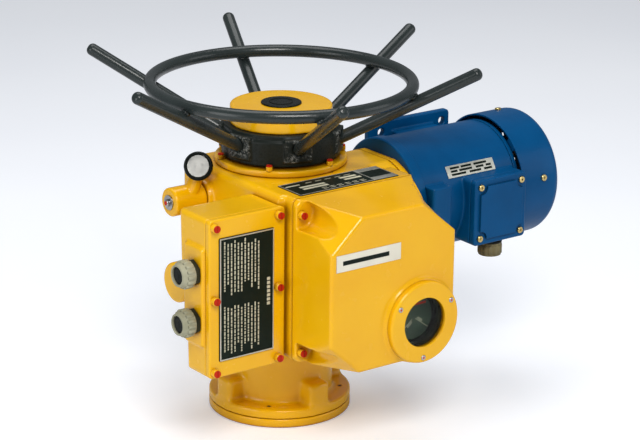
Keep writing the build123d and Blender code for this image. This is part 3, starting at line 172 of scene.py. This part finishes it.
def metal(name, base, dark, rough=(0.22, 0.42), stretch=None, scale=160, edge=0.0006, strength=0.25):
    """Machined or drawn metal: fine marks, a little stain, brighter edges."""
    g = Graph(name)
    near_edge, rounded = g.edges(edge)
    colour = g.mix(g.spread(g.noise(30, 4), 0.3, 0.75), base, dark)
    bright, grime_and_shade = tuple(min(1.0, c * 1.5) for c in base), tuple(c * 0.3 for c in dark)
    colour = g.mix(g.math("MULTIPLY", near_edge, METAL_WEAR), colour, bright)
    # grime and painted shade: darker where ambient occlusion finds corners and gaps
    colour = g.mix(g.math("MULTIPLY", g.dirt_and_shade(SMALL_GAP), SMALL_DIRT_AND_SHADE), colour, grime_and_shade)
    g.link(colour, g.bsdf.inputs["Base Color"])
    g.bsdf.inputs["Metallic"].default_value = 1.0
    marks = g.noise(scale, 4, 0.6, stretch)
    g.link(g.spread(marks, 0.3, 0.7, *rough), g.bsdf.inputs["Roughness"])
    g.bump([(marks, 0.0003, strength)], rounded)
    return g.material


def moulded(name, base, dark, rough=(0.3, 0.5), grain=900, strength=0.2, edge=0.0006):
    """Moulded plastic or rubber: fine grain, faint flow marks, and dust with painted shade in corners."""
    g = Graph(name)
    near_edge, rounded = g.edges(edge)
    colour = g.mix(g.spread(g.noise(24, 3), 0.35, 0.7), base, dark)
    rubbed, dust_and_shade = tuple(min(1.0, c * 1.4 + 0.02) for c in base), tuple(c * 0.35 for c in dark)
    colour = g.mix(g.math("MULTIPLY", near_edge, MOULDED_WEAR), colour, rubbed)
    # dust and painted shade: darker where ambient occlusion finds corners and gaps
    colour = g.mix(g.math("MULTIPLY", g.dirt_and_shade(SMALL_GAP), SMALL_DIRT_AND_SHADE), colour, dust_and_shade)
    g.link(colour, g.bsdf.inputs["Base Color"])
    g.link(g.spread(g.noise(140, 3), 0.3, 0.7, *rough), g.bsdf.inputs["Roughness"])
    g.bsdf.inputs["Specular IOR Level"].default_value = 0.15
    g.bump([(g.noise(grain, 2), 0.0002, strength)], rounded)
    return g.material


def clear(name):
    """Window glass with a faint grey-green body and a few smears."""
    g = Graph(name)
    g.bsdf.inputs["Base Color"].default_value = (0.93, 0.97, 0.94, 1)
    g.bsdf.inputs["Transmission Weight"].default_value = 1.0
    g.bsdf.inputs["IOR"].default_value = 1.15
    g.link(g.spread(g.noise(70, 3), 0.45, 0.75, 0.0, 0.03), g.bsdf.inputs["Roughness"])
    return g.material


def rough_casting(name):
    """Black painted casting with grey speckle where the outer pads are worn."""
    g = Graph(name)
    near_edge, rounded = g.edges(0.0015)
    paint_tones = (0.001, 0.004, 0.002), (0.005, 0.009, 0.007)
    colour = g.mix(g.spread(g.noise(22, 4), 0.35, 0.7), *paint_tones)
    flecks = g.spread(g.noise(420, 4, 0.75), 0.5, 0.58)
    split = g.add("ShaderNodeSeparateXYZ")
    g.link(g.coord, split.inputs["Vector"])
    squares = [g.math("MULTIPLY", split.outputs[axis], split.outputs[axis]) for axis in ("X", "Y")]
    radius = g.math("SQRT", g.math("ADD", *squares))
    worn = g.spread(radius, WORN_FROM, WORN_FULLY)
    patch = g.math("MULTIPLY", worn, g.spread(g.noise(48, 3), 0.4, 0.56))
    colour = g.mix(g.math("MULTIPLY", flecks, patch), colour, (0.2, 0.21, 0.2))
    colour = g.mix(g.math("MULTIPLY", near_edge, CAST_WEAR), colour, (0.06, 0.065, 0.06))
    g.link(colour, g.bsdf.inputs["Base Color"])
    g.link(g.spread(flecks, 0, 1, 0.4, 0.7), g.bsdf.inputs["Roughness"])
    g.bsdf.inputs["Specular IOR Level"].default_value = 0.25
    g.bump([(g.noise(260, 3), 0.0005, 0.6), (g.noise(60, 3), 0.0012, 0.5)], rounded)
    return g.material


M = {
    "yellow_enamel": paint("yellow_enamel", (0.78, 0.40, 0.0005), (0.82, 0.45, 0.0015),
                           (0.34, 0.105, 0.0005), rough=(0.16, 0.28), peel=0.25, cast=0.28, coat=0.3),
    "yellow_screw": paint("yellow_screw", (0.78, 0.40, 0.002), (0.84, 0.46, 0.006), (0.30, 0.10, 0.002),
                          edge=0.0006, coat=0.22),
    "blue_enamel": paint("blue_enamel", (0.0, 0.055, 0.165), (0.0, 0.075, 0.22), (0.0, 0.008, 0.03),
                         rough=(0.3, 0.42), worn=(0.0, 0.12, 0.33), peel=0.2, cast=0.22, coat=0.04,
                         gloss=0.1),
    "black_cast": rough_casting("black_cast"),
    "wheel_tube": paint("wheel_tube", (0.014, 0.02, 0.02), (0.024, 0.032, 0.032), (0.004, 0.006, 0.006),
                        rough=(0.2, 0.32), worn=(0.05, 0.06, 0.06), peel=0.25, cast=0.3, coat=0.2),
    "steel": metal("steel", (0.56, 0.56, 0.57), (0.34, 0.34, 0.35)),
    "bronze": metal("bronze", (0.66, 0.42, 0.17), (0.42, 0.24, 0.09)),
    "brass_screw": metal("brass_screw", (0.8, 0.62, 0.27), (0.5, 0.36, 0.14)),
    "core_steel": metal("core_steel", (0.33, 0.34, 0.36), (0.2, 0.2, 0.22), stretch=(900, 6, 6), scale=3),
    "insert_silver": metal("insert_silver", (0.62, 0.62, 0.59), (0.42, 0.42, 0.4), rough=(0.3, 0.5)),
    "red_plastic": moulded("red_plastic", (0.56, 0.022, 0.004), (0.38, 0.012, 0.003), rough=(0.25, 0.4)),
    "black_plastic": moulded("black_plastic", (0.002, 0.004, 0.003), (0.006, 0.009, 0.008),
                             rough=(0.2, 0.36)),
    "grey_plastic": moulded("grey_plastic", (0.40, 0.39, 0.28), (0.27, 0.265, 0.18), rough=(0.4, 0.6)),
    "rubber": moulded("rubber", (0.008, 0.01, 0.009), (0.018, 0.02, 0.019), rough=(0.6, 0.8), strength=0.4),
    "dial": moulded("dial", (0.05, 0.078, 0.056), (0.036, 0.058, 0.041), rough=(0.4, 0.55)),
    "plate_black": moulded("plate_black", (0.001, 0.006, 0.003), (0.004, 0.010, 0.006), rough=(0.4, 0.6)),
    "label_white": moulded("label_white", (0.74, 0.71, 0.60), (0.66, 0.63, 0.53), rough=(0.4, 0.55)),
    "glass": clear("glass"),
    "khaki_plastic": moulded("khaki_plastic", (0.20, 0.17, 0.085), (0.11, 0.095, 0.05), rough=(0.45, 0.65)),
    "ink_pale": moulded("ink_pale", (0.60, 0.57, 0.42), (0.46, 0.44, 0.32), rough=(0.4, 0.6)),
    "trim_silver": metal("trim_silver", (0.70, 0.70, 0.62), (0.50, 0.50, 0.44), rough=(0.35, 0.55)),
    "olive_dark": moulded("olive_dark", (0.030, 0.032, 0.016), (0.014, 0.016, 0.009), rough=(0.4, 0.6)),
}
# CAD nodes whose finish differs from their material slot's
FINISH = {"gland_bodies": "olive_dark", "motor_gland": "khaki_plastic", "motor_nameplate": "trim_silver",
          "m5_cap_screws": "yellow_screw", "cover_gaskets": "yellow_enamel"}

for node, obj in NODES.items():
    obj.data.materials.clear()
    obj.data.materials.append(M[FINISH.get(node, SLOT_OF[node])])


# ------------------------------------------------------------------ mesh helpers
RIB_SHARPNESS = 2.2  # above 1 a rib's wave gets flat tops and floors
WELD_GAP = 0.02  # millimetres
SMOOTHING = 0.5


def piece(name, verts, faces, body, slot, material=None, smooth=False):
    """A new mesh that rides on a CAD body, with its slot's finish or another material."""
    mesh = bpy.data.meshes.new(name)
    mesh.from_pydata([tuple(v) for v in verts], [], faces)
    mesh.validate()
    mesh.update()
    obj = bpy.data.objects.new(name, mesh)
    bpy.context.scene.collection.objects.link(obj)
    mesh.materials.append(M[material or slot])
    if smooth:
        mesh.polygons.foreach_set("use_smooth", [True] * len(mesh.polygons))
    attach(obj, body)
    return obj


def axes(normal, up=(0, 0, 1)):
    """Two directions square to a normal, the first level with the ground, and the normal itself."""
    n = Vector(normal).normalized()
    u = Vector(up).cross(n)
    if u.length < 1e-6:
        u = Vector((1, 0, 0))
    u.normalize()
    return u, n.cross(u), n


def bars(name, origin, u, v, n, rects, body, slot, material=None, thick=0.25):
    """Thin raised bars on a plate: each is (u centre, v centre, width, height) in millimetres."""
    verts, faces = [], []
    for cu, cv, w, h in rects:
        b = len(verts)
        for lift in (0.0, thick):
            for du, dv in ((-1, -1), (1, -1), (1, 1), (-1, 1)):
                verts.append(Vector(origin) * MM + u * (cu + du * w / 2) * MM + v * (cv + dv * h / 2) * MM
                             + n * lift * MM)
        faces += [(b, b + 3, b + 2, b + 1), (b + 4, b + 5, b + 6, b + 7)]
        faces += [(b + i, b + (i + 1) % 4, b + 4 + (i + 1) % 4, b + 4 + i) for i in range(4)]
    return piece(name, verts, faces, body, slot, material)


def lathe(name, origin, axis, profile, body, slot, material=None, segments=96, ribs=0, smooth=True):
    """Closed ring solid about an axis: profile is a closed loop of (radius, height, rib depth), in mm."""
    u, v, n = axes(axis)
    verts, faces = [], []
    count = len(profile)
    for s in range(segments):
        angle = 2 * math.pi * s / segments
        wave = max(-1.0, min(1.0, RIB_SHARPNESS * math.cos(ribs * angle))) * 0.5 - 0.5 if ribs else 0.0
        for radius, height, depth in profile:
            r = radius + depth * wave
            verts.append(Vector(origin) * MM + (u * math.cos(angle) + v * math.sin(angle)) * r * MM
                         + n * height * MM)
    for s in range(segments):
        t = (s + 1) % segments
        for i in range(count):
            j = (i + 1) % count
            faces.append((s * count + i, t * count + i, t * count + j, s * count + j))
    return piece(name, verts, faces, body, slot, material, smooth)


def button(name, origin, axis, radius, height, body, slot):
    """A small domed round button, closed all round but for a pinhole on its axis."""
    pinhole, shoulder, flat = 0.05, height * 0.6, radius * 0.75
    profile = [(pinhole, 0, 0), (radius, 0, 0), (radius, shoulder, 0), (flat, height, 0),
               (pinhole, height * 1.15, 0)]
    return lathe(name, origin, axis, profile, body, slot, segments=32)


def soften(node, voxel, passes):
    """Rounds a CAD casting's edges and blends its corners, as sand casting and thick paint do."""
    obj = NODES[node]
    weld = obj.modifiers.new("weld", "WELD")
    weld.merge_threshold = WELD_GAP * MM
    remesh = obj.modifiers.new("skin", "REMESH")
    remesh.mode = "VOXEL"
    remesh.voxel_size = voxel * MM
    remesh.use_smooth_shade = True
    smooth = obj.modifiers.new("cast", "SMOOTH")
    smooth.iterations = passes
    smooth.factor = SMOOTHING


def middle(node):
    """Centre of a node's box, in millimetres."""
    low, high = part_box(node)
    return [(a + b) / 2 / MM for a, b in zip(low, high)]


def size(node):
    """Width, depth and height of a node's box, in millimetres."""
    low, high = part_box(node)
    return [(b - a) / MM for a, b in zip(low, high)]


def face(node, side):
    """Centre of one outer face of a node's box: side is (axis, 0 for low or 1 for high)."""
    centre = middle(node)
    centre[side[0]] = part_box(node)[side[1]][side[0]] / MM
    return centre


def border(width, height, line, inset=0.6):
    """Four bars that run round a plate just inside its edge."""
    w, h = width - 2 * inset, height - 2 * inset
    return [(0, (h - line) / 2, w, line), (0, -(h - line) / 2, w, line),
            (-(w - line) / 2, 0, line, h - 2 * line), ((w - line) / 2, 0, line, h - 2 * line)]


def dashes(column, low, high):
    """One upright row of short bars that stand for a line of print."""
    width, shortest, longest, room = 1.6, 1.6, 5, 3
    rects, at = [], low
    while at < high - room:
        length = min(random.uniform(shortest, longest), high - at)
        rects.append((column, at + length / 2, width, length))
        at += length + random.uniform(0.8, 1.6)
    return rects


def around(angle):
    """Cosine and sine of an angle in degrees."""
    return math.cos(math.radians(angle)), math.sin(math.radians(angle))


# ------------------------------------------------------------------ castings
# voxel in millimetres and smoothing passes
CASTINGS = {
    "gear_housing": (2.0, 6), "indicator_cover": (1.5, 4), "control_box": (1.5, 3),
    "declutch_lever": (0.9, 6), "handwheel_hub": (1.2, 4), "spring_housing": (1.0, 4),
    "stem_cap": (1.2, 3), "base_plate": (1.2, 3), "seat_ring": (1.0, 3), "motor_frame": (1.2, 4),
}
for node, (voxel, passes) in CASTINGS.items():
    soften(node, voxel, passes)

# ------------------------------------------------------------------ plates, labels and dial marks
FRONT = axes((0, -1, 0))
UPWARD = axes((0, 0, 1), (0, 1, 0))
FORWARD = FRONT[2]
# how far things stand off a plate, in millimetres
INK, TRIM, STRIPE = 0.25, 0.3, 0.15

# the warning plate's print and border start inside the plate, so that only a thin skin stands proud
SUNK, INK_PROUD, TRIM_PROUD = 0.5, 0.12, 0.2
ROWS, ROW_PITCH, FIRST_ROW = 11, 4.7, 7
INDENT, TOP_MARGIN, BELOW_MIDDLE = 3, 5, 7
UPPER_START, LOWER_START = (4, 22), (5, 20)  # each row of print starts at a random height in these
TITLE_COLUMN, TITLE_LETTER = 8, (4.2, 3.6)
PLATE_W, _, PLATE_H = size("warning_plate")
plate_front = face("warning_plate", (1, 0))
plate_front[1] += SUNK
print_rows = []
for row in range(ROWS):
    column = -PLATE_W / 2 + FIRST_ROW + row * ROW_PITCH
    indent = INDENT if row % 3 else 0
    print_rows += dashes(column, random.uniform(*UPPER_START), PLATE_H / 2 - TOP_MARGIN - indent)
    print_rows += dashes(column, random.uniform(*LOWER_START) - PLATE_H / 2, -BELOW_MIDDLE - indent)
bars("warning_print", plate_front, *FRONT, print_rows, "housing", "label_white", "ink_pale",
     SUNK + INK_PROUD)
title = [(PLATE_W / 2 - TITLE_COLUMN, at, *TITLE_LETTER) for at in range(-16, 15, 5)]
bars("warning_title", plate_front, *FRONT, title, "housing", "label_white", "ink_pale", SUNK + INK_PROUD)
bars("warning_border", plate_front, *FRONT, border(PLATE_W, PLATE_H, 1.3), "housing", "insert_silver",
     "trim_silver", SUNK + TRIM_PROUD)

# the top nameplate: a border, value fields, rows of small print and a silver panel at its end
FIELD_H, SMALL_H = 4.4, 1.0
TOP_W, TOP_D, _ = size("top_nameplate")
top_face = face("top_nameplate", (2, 1))
bars("top_border", top_face, *UPWARD, border(TOP_W, TOP_D, 1.2, 0.2), "housing", "insert_silver",
     "trim_silver", TRIM)
fields = [(-37, 2, 36, FIELD_H), (-37, -5, 36, FIELD_H), (-58, 12, 20, 2.4), (18, 7, 24, FIELD_H),
          (20, -0.5, 24, FIELD_H)]
fields += [(x, y, 7, SMALL_H) for x in range(-30, 26, 11) for y in (-12, -16)]
fields += [(x, 13.5, 9, SMALL_H) for x in range(-34, 23, 14)]
bars("top_fields", top_face, *UPWARD, fields, "housing", "label_white", "ink_pale", INK)
end_panel = [(53, 16.5, 33, 9), (53, -16.5, 33, 9), (37.4, 0, 1.2, 24)]
bars("top_end_panel", top_face, *UPWARD, end_panel, "housing", "insert_silver", "trim_silver", INK)

# a plain bar in place of the front label's lettering
LABEL_ENDS, STRIPE_H, STRIPE_SHIFT = 26, 5.2, -4
stripe_w = size("front_label")[0] - LABEL_ENDS
bars("label_stripe", face("front_label", (1, 0)), *FRONT, [(STRIPE_SHIFT, 0, stripe_w, STRIPE_H)],
     "housing", "plate_black", thick=STRIPE)

# the motor's plate is curved, so each line of print lies square to its own place on the curve
MOTOR_PRINT_R, MOTOR_LINE_H = 73.9, 2.6
MOTOR_LINES = (  # angle about the motor's axis, then each word's (centre, width)
    (145.3, [(-24, 14), (-6, 16), (16, 20)]),
    (148.5, [(-26, 10), (-8, 20), (14, 12), (28, 8)]),
    (151.7, [(-20, 22), (6, 18), (26, 12)]),
)
motor_low, motor_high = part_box("drive_endshield")
motor_y, motor_z = [(motor_low[i] + motor_high[i]) / 2 / MM for i in (1, 2)]
plate_x = middle("motor_nameplate")[0]
for line, (angle, words) in enumerate(MOTOR_LINES):
    out = Vector((0, *around(angle)))
    place = (plate_x, motor_y + out.y * MOTOR_PRINT_R, motor_z + out.z * MOTOR_PRINT_R)
    bars(f"motor_plate_line_{line}", place, *axes(out), [(x, 0, w, MOTOR_LINE_H) for x, w in words],
         "housing", "plate_black", thick=INK)

# two marks on the dial, each a thin line with short print along it, and a red bar
MARK_LINE = (15, 0, 24, 0.7)
MARK_PRINT = [(6 + 1.5 * step, 2.2, 0.8, 3.2) for step in range(6)]
RED_BAR = (9, 16, 18, 2.6)
dial_face = face("indicator_dial", (1, 0))
for index, angle in enumerate((-140, -36)):
    cosine, sine = around(angle)
    along = Vector((cosine, 0, sine))
    bars(f"dial_mark_{index}", dial_face, along, -along.cross(FORWARD), FORWARD, [MARK_LINE, *MARK_PRINT],
         "indicator", "label_white", "ink_pale", TRIM)
bars("dial_red_bar", dial_face, *FRONT, [RED_BAR], "indicator", "red_plastic", thick=TRIM)

# ------------------------------------------------------------------ window liner
LINER_OUT, LINER_IN, SPINDLE_HOLE = 30.8, 30.0, 5.0  # radii
LINER_START, LINER_FLOOR, BEHIND_DIAL = 0.2, 0.6, 2.4
RING_PROFILE = [(30.05, 0, 0), (30.05, 1.2, 0), (29.3, 0.9, 0), (29.3, 0.3, 0)]
bezel = middle("window_bezel")
bezel_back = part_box("window_bezel")[1][1] / MM
deep = dial_face[1] + BEHIND_DIAL - bezel_back
liner_profile = [(LINER_OUT, LINER_START, 0), (LINER_OUT, deep + LINER_FLOOR, 0),
                 (SPINDLE_HOLE, deep + LINER_FLOOR, 0), (SPINDLE_HOLE, deep, 0),
                 (LINER_IN, deep, 0), (LINER_IN, LINER_START, 0)]
lathe("window_liner", (bezel[0], bezel_back, bezel[2]), (0, 1, 0), liner_profile, "housing",
      "black_plastic", smooth=False)
for index, rise in enumerate((3.5, 7.5)):
    lathe(f"liner_ring_{index}", (bezel[0], bezel_back + rise, bezel[2]), (0, 1, 0), RING_PROFILE,
          "housing", "black_plastic", "olive_dark")

# ------------------------------------------------------------------ cable glands
# box glands: a ribbed grip over each nut, and the rubber seal inside it
GRIP_SUNK, GRIP_PROUD, RIB_DEPTH, GRIP_RIBS = 0.6, 1.6, 1.8, 15
SEAL_PROFILE = [(10.5, 0, 0), (10.5, 2.6, 0), (7.5, 3.4, 0), (0.4, 2.2, 0), (0.4, 0, 0)]
SEAL_INSET = 5.0
nuts_low, nuts_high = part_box("gland_nuts")
nut_r = (nuts_high[1] - nuts_low[1]) / 2 / MM
nut_y = middle("gland_nuts")[1]
grip_profile = [(nut_r - GRIP_SUNK, 0, 0), (nut_r + GRIP_PROUD, 0.8, RIB_DEPTH),
                (nut_r + GRIP_PROUD, 9.4, RIB_DEPTH), (nut_r - GRIP_SUNK, 11, 0)]
for index, z in enumerate((nuts_high[2] / MM - nut_r, nuts_low[2] / MM + nut_r)):
    lathe(f"gland_grip_{index}", (nuts_high[0] / MM - 0.4, nut_y, z), (-1, 0, 0), grip_profile, "housing",
          "grey_plastic", segments=180, ribs=GRIP_RIBS)
    lathe(f"gland_seal_{index}", (nuts_low[0] / MM + SEAL_INSET, nut_y, z), (-1, 0, 0), SEAL_PROFILE,
          "housing", "rubber")

# motor gland: a ribbed grip and a rubber collar
MOTOR_GRIP_PROFILE = [(13.4, 0, 0), (15.2, 0.8, 1.1), (15.2, 11.6, 1.1), (13.4, 12.4, 0)]
COLLAR_PROFILE = [(12.5, 0, 0), (14.9, 0.4, 0), (14.9, 3.4, 0), (12.5, 3.8, 0)]
gland_x, gland_y, gland_low = face("motor_gland", (2, 0))
lathe("motor_gland_grip", (gland_x, gland_y, gland_low + 1.5), (0, 0, 1), MOTOR_GRIP_PROFILE, "housing",
      "grey_plastic", "khaki_plastic", segments=168, ribs=14)
lathe("motor_gland_collar", (gland_x, gland_y, gland_low + 16.2), (0, 0, 1), COLLAR_PROFILE, "housing",
      "rubber")

# ------------------------------------------------------------------ screw marks and flange
screw_x, screw_y, screw_z = face("lever_end_screw", (0, 0))
button("lever_screw_mark", (screw_x + 0.2, screw_y, screw_z), (-1, 0, 0), 2.6, 0.9, "lever", "red_plastic")

BEZEL_SCREWS_R = 43.5
bezel_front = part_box("bezel_screws")[0][1] / MM
for index, angle in enumerate((148, 28, 268)):
    cosine, sine = around(angle)
    place = (bezel[0] + BEZEL_SCREWS_R * cosine, bezel_front + 0.3, bezel[2] + BEZEL_SCREWS_R * sine)
    button(f"bezel_screw_mark_{index}", place, (0, -1, 0), 1.3, 0.5, "housing", "red_plastic")

# dark discs with a rim in place of the small tapped holes in the top of the flange: each dark disc is
# painted shade that stands for the inside of a hole
HOLE_CIRCLE, FLANGE_RISE = 75, 12.05
RIM_PROFILE = [(2.2, 0, 0), (3.4, 0, 0), (3.2, 0.35, 0), (2.4, 0.35, 0)]
flange_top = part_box("base_plate")[1][2] / MM + FLANGE_RISE
for index, angle in enumerate((-135.5, -39.0)):
    cosine, sine = around(angle)
    place = (HOLE_CIRCLE * cosine, HOLE_CIRCLE * sine, flange_top)
    lathe(f"flange_hole_rim_{index}", place, (0, 0, 1), RIM_PROFILE, "housing", "yellow_enamel", segments=40)
    button(f"flange_hole_{index}", place, (0, 0, 1), 2.3, 0.12, "housing", "rubber")

PLUG_RING_PROFILE = [(13.2, 0, 0), (14.6, 0, 0), (14.3, 0.8, 0), (13.5, 0.8, 0)]
cap_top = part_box("stem_plug")[1][2] / MM
lathe("stem_plug_ring", (0, 0, cap_top - 0.15), (0, 0, 1), PLUG_RING_PROFILE, "handwheel", "rubber")

# ------------------------------------------------------------------ camera, light and floor
AZIMUTH, ELEVATION, ROLL = map(math.radians, (-36.64, 17.91, 0.64))
TARGET = Vector((59.8, 0.0, 226.0)) * MM
DISTANCE, FAR_CLIP = 3.0321, 60  # metres
LENS, SENSOR = 138.57, 36.0  # millimetres
back = Vector((math.sin(AZIMUTH) * math.cos(ELEVATION), -math.cos(AZIMUTH) * math.cos(ELEVATION),
               math.sin(ELEVATION)))
level_right = Vector((math.cos(AZIMUTH), math.sin(AZIMUTH), 0.0))
level_up = back.cross(level_right)
right = level_right * math.cos(ROLL) + level_up * math.sin(ROLL)
up = level_up * math.cos(ROLL) - level_right * math.sin(ROLL)
camera_data = bpy.data.cameras.new("camera")
camera_data.lens = LENS
camera_data.sensor_width = SENSOR
camera_data.clip_end = FAR_CLIP
camera = bpy.data.objects.new("camera", camera_data)
camera.matrix_world = Matrix((right, up, back)).transposed().to_4x4()
camera.location = TARGET + back * DISTANCE
bpy.context.scene.collection.objects.link(camera)
bpy.context.scene.camera = camera


def area_light(name, place, extent, power, colour=(1, 1, 1)):
    """A rectangular lamp of some width and height in metres, aimed at the object's middle."""
    data = bpy.data.lights.new(name, "AREA")
    data.shape = "RECTANGLE"
    data.size, data.size_y = extent
    data.energy = power
    data.color = colour
    lamp = bpy.data.objects.new(name, data)
    lamp.location = place
    lamp.rotation_euler = (CENTRE - Vector(place)).to_track_quat("-Z", "Y").to_euler()
    bpy.context.scene.collection.objects.link(lamp)


CENTRE = Vector((0.05, 0.0, 0.22))
area_light("key", (-0.9, -1.9, 2.1), (1.1, 0.9), 54, (1.0, 0.98, 0.95))
area_light("side", (1.9, -1.7, 1.0), (1.2, 1.4), 9, (0.97, 0.98, 1.0))
area_light("over", (0.2, 0.5, 2.4), (1.8, 1.4), 26)
area_light("low_left", (-2.2, -0.3, 0.7), (1.0, 1.2), 13)

SKY, SKY_STRENGTH = (0.86, 0.89, 0.94, 1), 0.25
world = bpy.data.worlds.new("studio")
world.use_nodes = True
world.node_tree.nodes["Background"].inputs["Color"].default_value = SKY
world.node_tree.nodes["Background"].inputs["Strength"].default_value = SKY_STRENGTH
bpy.context.scene.world = world
bpy.context.scene.view_settings.view_transform = "Standard"

# the floor lies just under the flange, and glows a little for the camera only
FLOOR_REACH, FLOOR_DROP, FLOOR_GLOW = 12, 0.0002, 0.28  # metres, metres, strength
corners = [(x * FLOOR_REACH, y * FLOOR_REACH, 0) for x, y in ((-1, -1), (1, -1), (1, 1), (-1, 1))]
floor_mesh = bpy.data.meshes.new("floor")
floor_mesh.from_pydata(corners, [], [(0, 1, 2, 3)])
floor = bpy.data.objects.new("floor", floor_mesh)
floor.location.z = -FLOOR_DROP
bpy.context.scene.collection.objects.link(floor)
pale = Graph("pale_floor")
pale.link(pale.mix(pale.spread(pale.noise(1.5, 2), 0.3, 0.7), (0.8, 0.82, 0.86), (0.84, 0.86, 0.89)),
          pale.bsdf.inputs["Base Color"])
pale.bsdf.inputs["Roughness"].default_value = 0.7
pale.bsdf.inputs["Emission Color"].default_value = (0.9, 0.93, 1.0, 1)
seen = pale.add("ShaderNodeLightPath").outputs["Is Camera Ray"]
pale.link(pale.math("MULTIPLY", seen, FLOOR_GLOW), pale.bsdf.inputs["Emission Strength"])
floor_mesh.materials.append(pale.material)
